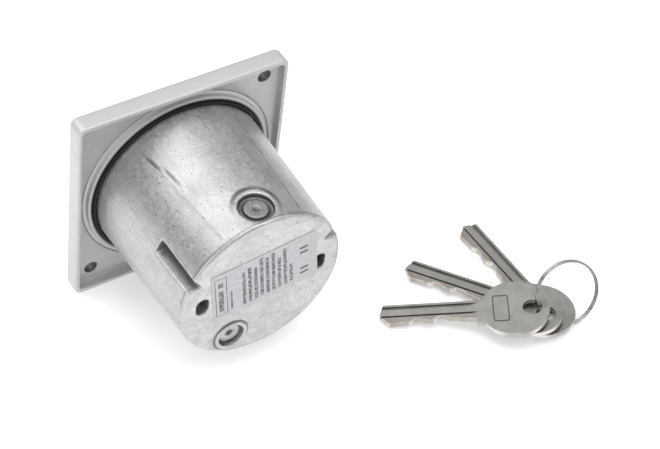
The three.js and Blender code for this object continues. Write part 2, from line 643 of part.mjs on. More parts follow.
addMesh(lock, 'cam', cam(), MATERIALS.steel);
addMesh(lock, 'cam_circlip', circlip(), MATERIALS.steel);
addMesh(lock, 'return_spring', returnSpring(), MATERIALS.steel);
addMesh(lock, 'switch_slider', slider(), MATERIALS.frame);
addMesh(lock, 'switch_frame', switchFrame(), MATERIALS.frame);
for (const [name, side] of [['left', -1], ['right', 1]]) {
  addMesh(lock, `frame_screw_${name}`, frameScrew(side), MATERIALS.steel);
  addMesh(lock, `microswitch_${name}`, microswitch(side), MATERIALS.plastic);
  addMesh(lock, `switch_plunger_${name}`, plunger(side), MATERIALS.frame);
  TERMINAL.heights.forEach((z, i) => {
    addMesh(lock, `terminal_${name}_${i + 1}`, terminal(side * PLUNGER_X, z), MATERIALS.brass);
  });
}
for (const [name, z] of Object.entries(SWITCH_SCREW_Z)) {
  addMesh(lock, `switch_screw_${name}`, switchScrew(z), MATERIALS.steel);
  addMesh(lock, `switch_nut_${name}`, switchNut(z), MATERIALS.steel);
}

// ---------------------------------------------------------------- keys and split ring

// A key in its own frame: the bow's hole at the origin, the blade along +X, its cuts on the +Y edge.
const BITTING = [0.5, 1.2, 2.1, 0.7, 1.5, 0.3];
const CUT_START = 21;
const CUT_PITCH = 4;
const CUT_FLOOR = 2.2;
const NECK_HALF = 4.9;
const NECK_LENGTH = 1.6;

function keyOutline() {
  const onBow = (y) => BOW_CENTRE + Math.sqrt(BOW_R * BOW_R - y * y);
  const shape = new THREE.Shape();
  shape.moveTo(onBow(NECK_HALF), -NECK_HALF);
  shape.lineTo(onBow(NECK_HALF) + NECK_LENGTH, -BLADE_HALF);
  const tipY = 0.6;
  const [tipBack, tipFront] = [1.2, 3.2];
  shape.lineTo(KEY_REACH - tipBack, -BLADE_HALF);
  shape.lineTo(KEY_REACH, tipY);
  shape.lineTo(KEY_REACH - tipFront, BLADE_HALF);
  [...BITTING.keys()].reverse().forEach((i) => {
    const x = CUT_START + i * CUT_PITCH;
    shape.lineTo(x + CUT_FLOOR, BLADE_HALF - BITTING[i]);
    shape.lineTo(x, BLADE_HALF - BITTING[i]);
  });
  shape.lineTo(SHOULDER_X, BLADE_HALF);
  shape.lineTo(SHOULDER_X, SHOULDER_HALF);
  shape.lineTo(onBow(SHOULDER_HALF), SHOULDER_HALF);
  shape.absarc(
    BOW_CENTRE, 0, BOW_R, Math.asin(SHOULDER_HALF / BOW_R), 2 * Math.PI - Math.asin(NECK_HALF / BOW_R));
  const hole = new THREE.Path();
  hole.absarc(0, 0, KEY_HOLE_R, 0, 2 * Math.PI);
  shape.holes.push(hole);
  return shape;
}

function key() {
  const half = KEY_THICKNESS / 2;
  const blank = solid(new THREE.ExtrudeGeometry(keyOutline(), {
    depth: KEY_THICKNESS, bevelEnabled: false, curveSegments: 16 }).translate(0, 0, -half));
  const [grooveDepth, grooveStart] = [0.55, 20];
  const groove = (y0, y1, face) => {
    const [z0, z1] = face > 0 ? [half - grooveDepth, half + 1] : [-half - 1, -half + grooveDepth];
    return block(grooveStart, KEY_REACH + 1, y0, y1, z0, z1);
  };
  return cut(
    blank, groove(-3.1, -1.7, 1), groove(0.7, 1.6, 1), groove(-1.4, -0.2, -1), groove(-3.7, -2.7, -1));
}

// Each key leans on the bow below it and touches the table with its tip. The ring passes through all three
// holes; each hole's centre lies a little to one side of the wire, as the wire hangs in it.
const TIP_CLEARANCE = 0.15;
const KEYS = [
  { name: 'key_front', hole: [-89.55, 79.65, -28.7], bearing: -30.4 },
  { name: 'key_middle', hole: [-93.55, 82.57, -31.2], bearing: -56.9 },
  { name: 'key_back', hole: [-95.2, 84.17, -34.2], bearing: -89.7 },
];

for (const { name, hole, bearing } of KEYS) {
  const tipZ = TABLE_Z + KEY_THICKNESS / 2 + TIP_CLEARANCE;
  const mesh = addMesh(keySet, name, key(), MATERIALS.nickel);
  mesh.rotation.set(0, Math.asin((hole[2] - tipZ) / KEY_REACH), THREE.MathUtils.degToRad(bearing), 'ZYX');
  mesh.position.set(...hole);
}

const ringSide = new THREE.Vector3(-Math.cos(RING_FACES), -Math.sin(RING_FACES), 0);
const ringUp = new THREE.Vector3(
  -Math.sin(RING_FACES) * Math.cos(RING_LEAN), Math.cos(RING_FACES) * Math.cos(RING_LEAN),
  Math.sin(RING_LEAN));
const RING_BOTTOM = TABLE_Z + RING_WIRE_R + 0.5 * RING_PITCH;
const ringCentre = new THREE.Vector3(...RING_CENTRE, RING_BOTTOM + RING_R * Math.sin(RING_LEAN));

function splitRing() {
  return coil(RING_R, RING_WIRE_R, 2, 2 * RING_PITCH, 26, 6);
}

const ring = addMesh(keySet, 'key_ring', splitRing(), MATERIALS.steel);
const ringNormal = new THREE.Vector3().crossVectors(ringUp, ringSide);
ring.setRotationFromMatrix(new THREE.Matrix4().makeBasis(ringSide, ringNormal, ringUp));
ring.position.copy(ringCentre);

export default object;
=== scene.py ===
"""Looks for a flush-mounted key switch: a square plate, a round die-cast housing, and three keys on a ring.

The frame is the CAD model's: origin on the lock's axis in the wall's plane, front towards -Y, +Z up.
Shapes are drawn in millimetres and put into the frame, in metres, when a piece is finished.
"""

import json
import math
import random

import bmesh
import bpy
import numpy as np
from mathutils import Matrix, Vector, noise


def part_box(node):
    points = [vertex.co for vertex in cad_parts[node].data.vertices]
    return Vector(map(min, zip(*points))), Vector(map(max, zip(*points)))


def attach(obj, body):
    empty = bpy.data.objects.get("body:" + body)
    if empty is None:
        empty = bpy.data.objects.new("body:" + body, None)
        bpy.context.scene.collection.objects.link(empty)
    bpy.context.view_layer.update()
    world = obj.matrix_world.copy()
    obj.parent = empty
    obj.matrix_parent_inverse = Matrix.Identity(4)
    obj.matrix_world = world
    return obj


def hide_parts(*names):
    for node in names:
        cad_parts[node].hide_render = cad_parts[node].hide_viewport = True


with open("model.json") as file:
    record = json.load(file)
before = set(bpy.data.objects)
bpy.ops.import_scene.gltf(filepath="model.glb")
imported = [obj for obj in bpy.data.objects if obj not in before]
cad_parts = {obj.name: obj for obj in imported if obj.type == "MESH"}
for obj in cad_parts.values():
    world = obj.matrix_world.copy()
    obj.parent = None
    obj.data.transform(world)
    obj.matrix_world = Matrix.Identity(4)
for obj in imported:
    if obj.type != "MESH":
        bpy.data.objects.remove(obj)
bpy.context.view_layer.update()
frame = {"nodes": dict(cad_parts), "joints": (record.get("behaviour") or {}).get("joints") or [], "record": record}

MM = 0.001


def span(node, axis):
    """Lowest and highest place of a CAD node along x, y or z, in millimetres."""
    low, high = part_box(node)
    i = "xyz".index(axis)
    return low[i] / MM, high[i] / MM


# ---------------------------------------------------------------- sizes in millimetres

CORNERS = ((1, 1), (-1, 1), (-1, -1), (1, -1))

PLATE_HALF = span("front_plate", "x")[1]
PLATE_FRONT = span("front_plate", "y")[0]
PLATE_CORNER_R = 2.5
PLATE_CAP_R = 12
RIM_WIDTH = 1.6
RECESS_FLOOR = span("body_housing", "y")[0]
COLLAR_INNER_R = 31.45
COLLAR_OUTER_R = 32.9
COLLAR_TOP = RECESS_FLOOR + 1.7
SCRIBED_R = 34.3
SCRIBED_DEPTH = 0.32
WALL_HOLE_R = 2.2
WALL_HOLE_OFFSET = 30.4
HOLE_CHAMFER = 0.3
SCREW_HOLE_R = 2.1
SCREW_HEAD_R = 3.9
SCREW_SEAT_DEPTH = 1.8
CHEEK_X = (5.3, 8.3)
CHEEK_Z = (-23.8, -9.8)

BODY_END = span("inspection_label", "y")[0]
BODY_FRONT_R = 30.1
BODY_REAR_R = 28.6
BODY_EDGE_R = 1.3
BODY_CAP_R = 8
WALL = 2.4
CAVITY_END = BODY_END - 3
CASTING_VOXEL = 0.36
BOSS_X = 19.5
BOSS_Z = 9.5
BOSS_END = 10
BOSS_DRILLED = 8.5
PILLAR_X = 20.5
PILLAR_SPAN = (17, 29)
PILLAR_HALF = 4.5
PILLAR_DRILLED = 41.5
RIB_R = 4.6
RIB_OFFSET = 27
SIDE_KNOCKOUT_Y = 43.5
SIDE_PAD_R = 7.6
SIDE_PAD_FACE = 28.3
SIDE_GAP_R = 5.8
SIDE_GAP_FLOOR = 26.3
SIDE_DISC_R = 4
SIDE_DISC_FACE = 27.6
REAR_KNOCKOUT = (9.8, -18.5)
REAR_RING_R = 5.8
REAR_RING_HEIGHT = 0.7
REAR_DISC_R = 4.3
REAR_DISC_DEPTH = 0.8
BACK_SLOT = (21, 0.2)
BACK_SLOT_SIZE = (4.4, 6.8)
BACK_SLOT_START = 43.5
GROOVE_ANGLE = math.radians(24.5)
GROOVE_ROOT_R = 24.4
GROOVE_MOUTH_R = 34
GROOVE_SPREAD = 0.58
GROOVE_START = 31.5

# Marks along the housing's wall. Each has its angle at the front, its angle at the back, its width,
# its first y, its last y and the length over which its ends fade.
PARTING_RIDGES = ((52, 60, 0.45, 4, 49, 1.5), (122, 118, 0.45, 4, 49.5, 1.5))
# Darker lines, each painted just beside a parting ridge.
PARTING_DARK_LINES = ((52.9, 60.9, 0.4, 4, 49, 1.5), (121.1, 117.1, 0.4, 4, 49.5, 1.5))
SCAR_DENTS = ((53, 56, 0.8, 5, 15.5, 4), (57.5, 60, 0.6, 12, 25, 5))
SCAR_LIPS = ((55.2, 58.2, 0.6, 5, 15.5, 4), (59.8, 62.2, 0.5, 12, 25, 5))
# Darker along the scars' dents.
SCAR_DARKENING = ((53, 56, 0.9, 5.5, 15, 3), (57.5, 60, 0.7, 12.5, 24.5, 4))
SCAR_SHINE = ((54.6, 57.6, 0.6, 5, 15.5, 4), (59.2, 61.6, 0.5, 12, 25, 5))
PIT_COUNT = 90

PROFILE_R = 8.5
PROFILE_LEG = 5
PROFILE_BOTTOM = -24.5
PROFILE_CLEARANCE = 0.3
CLAMP_SCREW = (18.3, -17.5)
CLAMP_HOLE_R = 2.8
CLAMP_HOLE_HALF = 9.5

ROSETTE_R = span("front_rosette", "x")[1]
ROSETTE_FRONT = span("front_rosette", "y")[0]
ROSETTE_CAP_R = 14

LABEL_SIZE = (37.5, 22)
LABEL_TURN = math.radians(6.5)
LABEL_CENTRE = (-0.9, 3.7)
LABEL_THICKNESS = 0.12
LABEL_GAP = 0.03

KEY_THICKNESS = 1.9
KEY_HOLE_R = 3.1
KEY_REACH = 50.5
BOW_R = 11.5
BOW_CENTRE = 5.7
BLADE_HALF = 4.1
SHOULDER_X = 18.2
SHOULDER_HALF = 5.3
NECK_HALF = 4.9
NECK_LENGTH = 1.6
BITTING = (0.5, 1.2, 2.1, 0.7, 1.5, 0.3)
CUT_START = 21
CUT_PITCH = 4
CUT_FLOOR = 2.2
# Degrees from +X of each key's direction, from its hole to its tip.
KEY_BEARINGS = {"front": -30.4, "middle": -56.9, "back": -89.7}
KEY_EDGE = 0.28
# Lower edge, upper edge and face of each milled groove.
KEY_GROOVES = ((-3.1, -1.7, 1), (0.7, 1.6, 1), (-1.4, -0.2, -1), (-3.7, -2.7, -1))
KEY_GROOVE_START = 19.0
KEY_GROOVE_DEPTH = 0.55
KEY_GROOVE_SLANT = 0.16
BOW_MARK_X = 10.4
# Width, height and corner radius.
BOW_MARK_OUTER = (5.4, 11.2, 0.9)
BOW_MARK_INNER = (4.5, 10.3, 0.5)
BOW_MARK_DEPTH = 0.14
TABLE_Z = span("front_plate", "z")[0]

RING_R = 11.2
RING_WIRE_R = 0.42
RING_PITCH = 0.95
RING_LEAN = math.radians(61.3)
RING_FACES = math.radians(169.2)
RING_CENTRE = (-102.45, 80.7)

random.seed(7)


def body_radius(y):
    return BODY_FRONT_R + (BODY_REAR_R - BODY_FRONT_R) * y / BODY_END


# ---------------------------------------------------------------- mesh tools, in millimetres

def link(name, mesh):
    obj = bpy.data.objects.new(name, mesh)
    bpy.context.scene.collection.objects.link(obj)
    return obj


def from_bmesh(name, bm):
    bmesh.ops.recalc_face_normals(bm, faces=bm.faces)
    mesh = bpy.data.meshes.new(name)
    bm.to_mesh(mesh)
    bm.free()
    return link(name, mesh)


def loft(name, loops, ring=False):
    """A solid through loops of equally many points. It has flat ends, or goes round to its first loop."""
    bm = bmesh.new()
    rows = [[bm.verts.new(p) for p in loop] for loop in loops]
    count = len(rows[0])
    following = rows[1:] + rows[:1] if ring else rows[1:]
    for a, b in zip(rows, following):
        for i in range(count):
            j = (i + 1) % count
            bm.faces.new((a[i], a[j], b[j], b[i]))
    if not ring:
        bm.faces.new(rows[0])
        bm.faces.new(rows[-1])
    return from_bmesh(name, bm)


def circle_about_y(r, y, segments):
    angles = [2 * math.pi * i / segments for i in range(segments)]
    return [(r * math.cos(a), y, r * math.sin(a)) for a in angles]


def turned(name, profile, segments):
    """A profile of (radius, y) turned about the Y axis. It has flat ends and no point on the axis."""
    return loft(name, [circle_about_y(r, y, segments) for r, y in profile])


def block(name, x0, x1, y0, y1, z0, z1):
    return loft(name, [[(x0, y, z0), (x1, y, z0), (x1, y, z1), (x0, y, z1)] for y in (y0, y1)])


def rod(name, r, y0, y1, centre, segments, end_r=None):
    """A round solid along Y about a centre given as X and Z. end_r is its radius at y1, if it differs."""
    obj = turned(name, [(r, y0), (r if end_r is None else end_r, y1)], segments)
    obj.data.transform(Matrix.Translation((centre[0], 0, centre[1])))
    return obj


def outline_solid(name, outlines, thickness, bevel=0.0, steps=2):
    """A flat solid in the XY plane, centred on z 0. The first outline is the edge; the others are holes."""
    curve = bpy.data.curves.new(name, "CURVE")
    curve.dimensions = "2D"
    curve.fill_mode = "BOTH"
    curve.extrude = thickness / 2 - bevel
    curve.bevel_depth = bevel
    curve.bevel_resolution = steps
    curve.offset = -bevel
    for points in outlines:
        spline = curve.splines.new("POLY")
        spline.points.add(len(points) - 1)
        for point, (x, y) in zip(spline.points, points):
            point.co = (x, y, 0, 1)
        spline.use_cyclic_u = True
    holder = link(name + "_curve", curve)
    bpy.context.view_layer.update()
    mesh = bpy.data.meshes.new_from_object(holder.evaluated_get(bpy.context.evaluated_depsgraph_get()))
    bpy.data.objects.remove(holder)
    bm = bmesh.new()
    bm.from_mesh(mesh)
    bmesh.ops.remove_doubles(bm, verts=bm.verts, dist=1e-4)
    return from_bmesh(name, bm)


def along_y(obj, y0, y1):
    """Stands a flat solid up between y0 and y1: its outline's X and Y become the frame's X and Z."""
    turn = Matrix.Rotation(math.pi / 2, 4, "X")
    obj.data.transform(Matrix.Translation((0, (y0 + y1) / 2, 0)) @ turn)
    return obj


def prism(name, outline, y0, y1):
    """A solid along Y with the outline's shape in the frame's X and Z."""
    return along_y(outline_solid(name, [outline], y1 - y0), y0, y1)


def arc(centre, radius, start, stop, count):
    """Points on an arc, from one angle to another in degrees, both ends included."""
    turns = [math.radians(start + (stop - start) * i / (count - 1)) for i in range(count)]
    return [(centre[0] + radius * math.cos(a), centre[1] + radius * math.sin(a)) for a in turns]


def rounded_rectangle(width, height, radius, steps=9, centre=(0, 0)):
    w, h = width / 2 - radius, height / 2 - radius
    points = []
    for quarter, (x, y) in enumerate([(w, h), (-w, h), (-w, -h), (w, -h)]):
        points += arc((centre[0] + x, centre[1] + y), radius, 90 * quarter, 90 * quarter + 90, steps)
    return points


def joined(name, parts):
    """One object from several that don't touch, or whose overlap a boolean or remesh takes up."""
    bm = bmesh.new()
    for part in parts:
        bm.from_mesh(part.data)
        bpy.data.objects.remove(part)
    mesh = bpy.data.meshes.new(name)
    bm.to_mesh(mesh)
    bm.free()
    return link(name, mesh)


def applied(obj):
    """Turns an object's modifiers into its mesh."""
    bpy.context.view_layer.update()
    mesh = bpy.data.meshes.new_from_object(obj.evaluated_get(bpy.context.evaluated_depsgraph_get()))
    obj.modifiers.clear()
    obj.data = mesh
    return obj


def combine(obj, other, operation):
    """Exact boolean of obj with other, which is used up. operation is UNION or DIFFERENCE."""
    step = obj.modifiers.new("combine", "BOOLEAN")
    step.operation = operation
    step.solver = "EXACT"
    step.object = other
    applied(obj)
    bpy.data.objects.remove(other)
    return obj


def remeshed(obj, voxel, passes):
    """Even small quads all over, with edges as soft as a casting's."""
    step = obj.modifiers.new("voxels", "REMESH")
    step.mode = "VOXEL"
    step.voxel_size = voxel
    smooth = obj.modifiers.new("smooth", "SMOOTH")
    smooth.factor = 0.5
    smooth.iterations = passes
    return applied(obj)


def bevelled(obj, width, segments, angle):
    """Small bevels on the edges where faces meet at more than the angle."""
    step = obj.modifiers.new("edges", "BEVEL")
    step.width = width
    step.segments = segments
    step.limit_method = "ANGLE"
    step.angle_limit = math.radians(angle)
    step.use_clamp_overlap = True


def vertices_of(obj, what="co"):
    """A row of three numbers for each vertex: its place, or its normal."""
    values = np.zeros(len(obj.data.vertices) * 3, np.float32)
    obj.data.vertices.foreach_get(what, values)
    return values.reshape(-1, 3).astype(float)


def set_vertices(obj, co):
    obj.data.vertices.foreach_set("co", co.astype(np.float32).ravel())
    obj.data.update()


def near(values, place, fall, top=1.0):
    """1 at a place and less away from it, by 1 in each length of fall. A top above 1 makes it wider."""
    return np.clip(top - np.abs(values - place) / fall, 0, 1)


def paint(obj, name, values):
    """Keeps a value for each vertex, which a material can read."""
    attribute = obj.data.attributes.new(name, "FLOAT", "POINT")
    attribute.data.foreach_set("value", np.asarray(values, np.float32))


def smooth_shaded(obj, angle):
    """Smooth shading, with faces that meet at more than the angle kept apart."""
    obj.data.polygons.foreach_set("use_smooth", [True] * len(obj.data.polygons))
    obj.data.set_sharp_from_angle(angle=math.radians(angle))


def finished(obj, material, slot, body, *nodes):
    """Puts a piece into the frame: metres, its material, its body and the CAD nodes that it stands for."""
    obj.data.transform(Matrix.Scale(MM, 4))
    obj.data.materials.clear()
    obj.data.materials.append(material)
    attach(obj, body)
    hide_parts(*nodes)
    return obj


# ---------------------------------------------------------------- material tools

class Look:
    """A Principled material and short ways to add nodes to it."""

    def __init__(self, name, color, metallic, roughness):
        self.material = bpy.data.materials.new(name)
        self.material.use_nodes = True
        self.tree = self.material.node_tree
        self.shader = self.tree.nodes["Principled BSDF"]
        self.set("Base Color", (*color, 1))
        self.set("Metallic", metallic)
        self.set("Roughness", roughness)
        place = self.node("ShaderNodeTexCoord")
        self.coordinates = place.outputs["Object"]
        self.facing = place.outputs["Normal"]
        self.place = self.stretched(1, 1, 1)

    def set(self, socket, value):
        self.shader.inputs[socket].default_value = value

    def node(self, kind, **settings):
        made = self.tree.nodes.new(kind)
        for key, value in settings.items():
            setattr(made, key, value)
        return made

    def join(self, source, target):
        self.tree.links.new(source, target)

    def feed(self, target, value):
        if isinstance(value, bpy.types.NodeSocket):
            self.join(value, target)
        else:
            target.default_value = value

    def stretched(self, x, y, z, source=None):
        """Coordinates in millimetres times x, y and z."""
        mapping = self.node("ShaderNodeMapping")
        self.join(source or self.coordinates, mapping.inputs["Vector"])
        mapping.inputs["Scale"].default_value = (x / MM, y / MM, z / MM)
        return mapping.outputs["Vector"]

    def noise(self, size, detail=3.0, roughness=0.55, place=None, distortion=0.0):
        """Noise with blobs of about the size given in millimetres."""
        made = self.node("ShaderNodeTexNoise")
        self.join(place or self.place, made.inputs["Vector"])
        made.inputs["Scale"].default_value = 1 / size
        made.inputs["Detail"].default_value = detail
        made.inputs["Roughness"].default_value = roughness
        made.inputs["Distortion"].default_value = distortion
        return made.outputs["Fac"]

    def spots(self, size):
        """Distance from scattered points about a size apart, in that size."""
        made = self.node("ShaderNodeTexVoronoi")
        self.join(self.place, made.inputs["Vector"])
        made.inputs["Scale"].default_value = 1 / size
        return made.outputs["Distance"]

    def between(self, value, low, high, to_low=0.0, to_high=1.0):
        """The value's stretch from low to high, smoothly made into to_low to to_high."""
        made = self.node("ShaderNodeMapRange", interpolation_type="SMOOTHSTEP")
        self.feed(made.inputs["Value"], value)
        limits = {"From Min": low, "From Max": high, "To Min": to_low, "To Max": to_high}
        for socket, number in limits.items():
            made.inputs[socket].default_value = number
        return made.outputs["Result"]

    def math(self, operation, a, b=0.0):
        made = self.node("ShaderNodeMath", operation=operation)
        self.feed(made.inputs[0], a)
        self.feed(made.inputs[1], b)
        return made.outputs["Value"]

    def mix(self, amount, a, b):
        """Colour a with the amount of colour b laid over it."""
        made = self.node("ShaderNodeMix", data_type="RGBA")
        self.feed(made.inputs["Factor"], amount)
        for key, value in (("A", a), ("B", b)):
            socket = next(s for s in made.inputs if s.name == key and s.type == "RGBA")
            self.feed(socket, (*value, 1) if isinstance(value, tuple) else value)
        return next(s for s in made.outputs if s.type == "RGBA")

    def attribute(self, name):
        """The values that paint() kept under this name."""
        return self.node("ShaderNodeAttribute", attribute_name=name).outputs["Fac"]

    def axis(self, source, letter):
        made = self.node("ShaderNodeSeparateXYZ")
        self.join(source, made.inputs["Vector"])
        return made.outputs[letter]

    def slanted(self):
        """1 on chamfers and round edges, 0 on faces that look along one of the axes."""
        parts = [self.math("ABSOLUTE", self.axis(self.facing, letter)) for letter in "XYZ"]
        largest = self.math("MAXIMUM", self.math("MAXIMUM", parts[0], parts[1]), parts[2])
        return self.between(largest, 0.86, 0.97, 1, 0)

    def color(self, value):
        self.join(value, self.shader.inputs["Base Color"])

    def roughness(self, value):
        self.join(value, self.shader.inputs["Roughness"])

    def bump(self, *layers):
        """Bumps stacked on each other: pairs of a height and its depth in millimetres."""
        normal = None
        for height, depth in layers:
            made = self.node("ShaderNodeBump")
            self.join(height, made.inputs["Height"])
            made.inputs["Distance"].default_value = depth * MM
            made.inputs["Strength"].default_value = 1
            if normal is not None:
                self.join(normal, made.inputs["Normal"])
            normal = made.outputs["Normal"]
        self.join(normal, self.shader.inputs["Normal"])


# ---------------------------------------------------------------- materials

def plate_paint():
    look = Look("satin_silver_paint", (0.5, 0.51, 0.52), 0.4, 0.42)
    flakes = look.noise(0.16, 1)
    peel = look.noise(0.9, 2)
    dust = look.noise(7, 4, 0.6)
    grey = look.mix(look.between(flakes, 0.3, 0.7), (0.47, 0.48, 0.49), (0.57, 0.58, 0.59))
    grey = look.mix(look.between(dust, 0.55, 0.8, 0, 0.25), grey, (0.42, 0.425, 0.43))
    look.color(look.mix(look.attribute("shade"), grey, (0.06, 0.06, 0.065)))
    look.roughness(look.between(dust, 0.3, 0.7, 0.36, 0.48))
    look.bump((peel, 0.012), (flakes, 0.004))
    return look.material


def raw_casting():
    look = Look("raw_die_casting", (0.5, 0.49, 0.47), 0.85, 0.38)
    clouds = look.noise(8, 4, 0.6)
    mottle = look.noise(1.3, 5, 0.7)
    grain = look.noise(0.42, 4, 0.75)
    flow = look.noise(1.5, 3, 0.6, look.stretched(1, 0.12, 1))
    side = look.mix(look.between(clouds, 0.36, 0.64), (0.42, 0.417, 0.41), (0.51, 0.506, 0.497))
    side = look.mix(look.between(mottle, 0.35, 0.65, 0, 0.5), side, (0.6, 0.595, 0.582))
    side = look.mix(look.between(flow, 0.5, 0.75, 0, 0.35), side, (0.27, 0.27, 0.265))
    side = look.mix(look.between(grain, 0.48, 0.66, 0, 0.6), side, (0.2, 0.197, 0.19))
    stains = look.noise(6, 4, 0.6, distortion=0.6)
    end = look.mix(look.between(stains, 0.38, 0.66), (0.6, 0.597, 0.59), (0.5, 0.485, 0.475))
    end = look.mix(look.between(mottle, 0.42, 0.68, 0, 0.5), end, (0.44, 0.437, 0.432))
    scratches = look.noise(0.7, 3, 0.6, look.stretched(0.25, 1, 1.6), 0.4)
    end = look.mix(look.between(scratches, 0.56, 0.7, 0, 0.5), end, (0.34, 0.337, 0.332))
    end = look.mix(look.between(grain, 0.52, 0.72, 0, 0.5), end, (0.33, 0.327, 0.32))
    whole = look.mix(look.between(look.axis(look.facing, "Y"), 0.6, 0.95), side, end)
    whole = look.mix(look.attribute("seam"), whole, (0.12, 0.12, 0.117))
    whole = look.mix(look.attribute("scar"), whole, (0.1, 0.098, 0.095))
    whole = look.mix(look.attribute("bright"), whole, (0.7, 0.695, 0.68))
    pits = look.math("MULTIPLY", look.between(look.spots(1.7), 0.06, 0.24, 0.8, 0),
                     look.between(look.noise(4, 2), 0.5, 0.58))
    whole = look.mix(pits, whole, (0.1, 0.098, 0.095))
    whole = look.mix(look.attribute("shade"), whole, (0.05, 0.049, 0.047))
    look.color(whole)
    look.roughness(look.between(mottle, 0.3, 0.7, 0.34, 0.5))
    look.bump((clouds, 0.05), (mottle, 0.03), (grain, 0.02))
    return look.material


def seal_rubber():
    look = Look("black_rubber", (0.012, 0.012, 0.013), 0, 0.62)
    look.set("Specular IOR Level", 0.22)
    dust = look.noise(1.2, 4, 0.65)
    look.color(look.mix(look.between(dust, 0.5, 0.8, 0, 0.6), (0.010, 0.010, 0.011), (0.035, 0.035, 0.036)))
    look.roughness(look.between(dust, 0.3, 0.8, 0.5, 0.72))
    look.bump((dust, 0.02))
    return look.material


def satin_nickel(name="satin_nickel", grain_axis="X"):
    look = Look(name, (0.42, 0.41, 0.39), 1, 0.3)
    along = (0.03, 1.0, 1.0) if grain_axis == "X" else (1.0, 1.0, 0.03)
    brushed = look.noise(0.12, 2, 0.6, look.stretched(*along))
    wear = look.noise(5, 3, 0.5)
    fine = look.noise(0.35, 2)
    tone = look.mix(look.between(wear, 0.35, 0.7), (0.37, 0.36, 0.345), (0.41, 0.4, 0.383))
    tone = look.mix(look.math("MULTIPLY", look.slanted(), 0.8), tone, (0.72, 0.7, 0.66))
    on_blade = look.between(look.axis(look.coordinates, "X"), 18.5 * MM, 21 * MM)
    by_the_cuts = look.between(look.axis(look.coordinates, "Y"), 1.2 * MM, 3.4 * MM)
    cut_side = look.math("MULTIPLY", on_blade, by_the_cuts)
    brassy = look.math("MULTIPLY", cut_side, look.between(look.noise(1.6, 3), 0.42, 0.6, 0, 0.6))
    tone = look.mix(brassy, tone, (0.38, 0.29, 0.2))
    look.color(look.mix(look.attribute("shade"), tone, (0.1, 0.085, 0.07)))
    rubbed = look.math("ADD", look.math("MULTIPLY", brushed, 0.6), look.math("MULTIPLY", wear, 0.4))
    look.roughness(look.between(rubbed, 0.35, 0.65, 0.26, 0.38))
    look.bump((brushed, 0.004), (fine, 0.002))
    return look.material


def polished_steel():
    look = Look("polished_ring_steel", (0.36, 0.355, 0.35), 1, 0.2)
    wear = look.noise(1.1, 4)
    look.color(look.mix(look.between(wear, 0.4, 0.7), (0.3, 0.295, 0.29), (0.44, 0.435, 0.43)))
    look.roughness(look.between(wear, 0.35, 0.7, 0.14, 0.28))
    look.bump((wear, 0.003))
    return look.material


def machined_brass():
    look = Look("machined_brass", (0.6, 0.44, 0.18), 1, 0.3)
    rings = look.noise(0.2, 2, 0.6, look.stretched(1, 0.1, 1))
    stain = look.noise(2.5, 4)
    look.color(look.mix(look.between(stain, 0.4, 0.7), (0.5, 0.36, 0.14), (0.68, 0.52, 0.24)))
    look.roughness(look.between(stain, 0.3, 0.7, 0.24, 0.4))
    look.bump((rings, 0.004))
    return look.material


def plated_steel():
    look = Look("zinc_plated_steel", (0.45, 0.45, 0.46), 1, 0.35)
    bloom = look.noise(1.4, 4)
    look.color(look.mix(look.between(bloom, 0.35, 0.7), (0.38, 0.385, 0.4), (0.54, 0.54, 0.53)))
    look.roughness(look.between(bloom, 0.3, 0.7, 0.28, 0.45))
    look.bump((bloom, 0.004))
    return look.material


def moulded_plastic(name, dark, light, roughness):
    look = Look(name, light, 0, roughness)
    texture = look.noise(0.3, 2)
    cloud = look.noise(4, 3)
    look.color(look.mix(look.between(cloud, 0.35, 0.65), dark, light))
    look.roughness(look.between(texture, 0.3, 0.7, roughness - 0.06, roughness + 0.08))
    look.bump((texture, 0.008))
    return look.material


def label_film():
    """Foil with a boxed heading, columns of short bars for small print, and two larger marks."""
    look = Look("label_film", (0.56, 0.55, 0.6), 0.25, 0.38)
    uv = look.node("ShaderNodeUVMap", uv_map="print").outputs["UV"]
    u, v = look.axis(uv, "X"), look.axis(uv, "Y")

    def band(value, low, high, soft=0.05):
        rise = look.between(value, low - soft, low + soft)
        fall = look.between(value, high - soft, high + soft, 1, 0)
        return look.math("MULTIPLY", rise, fall)

    def area(u0, u1, v0, v1):
        return look.math("MULTIPLY", band(u, u0, u1), band(v, v0, v1))

    def either(a, b):
        return look.math("MAXIMUM", a, b)

    def words(u0, u1, v0, v1, gap):
        """A column of small print: strokes with gaps between its words."""
        inside = area(u0, u1, v0, v1)
        strokes = look.noise(0.45, 1, 0.5, look.stretched(0.4 * MM, MM, 0, uv))
        spaces = look.noise(2.4 + gap, 0, 0.5, look.stretched(0, MM, 0, uv))
        ink = look.math("MULTIPLY", look.between(strokes, 0.38, 0.52), look.between(spaces, 0.36, 0.42))
        return look.math("MULTIPLY", inside, ink)

    height = LABEL_SIZE[1]
    frame_outer = area(1.0, 5.2, 2.2, height - 2.0)
    frame_inner = area(1.25, 4.95, 2.45, height - 2.25)
    ink = look.math("SUBTRACT", frame_outer, frame_inner)
    ink = either(ink, words(2.2, 3.9, 4, height - 4.2, 0.3))
    ink = either(ink, words(6.3, 7.0, 3.2, 12, 0.5))
    columns = [(10.6, 16), (12.7, 18.2), (14.8, 15.5), (16.9, 18.6), (19.0, 17.4), (21.1, 18.2),
               (23.2, 14.6), (25.3, 17.8), (27.4, 9)]
    for at, length in columns:
        ink = either(ink, words(at, at + 1.2, 2.4, 2.4 + length, 0.1 * at))
    for at in (4.0, 6.2, 13.8, 16.0):
        ink = either(ink, area(31.2, 34.2, at, at + 0.9))
    grain = look.noise(1.5, 4, 0.6)
    film = look.mix(look.between(grain, 0.35, 0.7), (0.44, 0.436, 0.46), (0.53, 0.526, 0.548))
    look.color(look.mix(look.math("MULTIPLY", ink, 0.92), film, (0.05, 0.05, 0.06)))
    look.roughness(look.between(grain, 0.3, 0.7, 0.3, 0.46))
    look.bump((grain, 0.01))
    return look.material


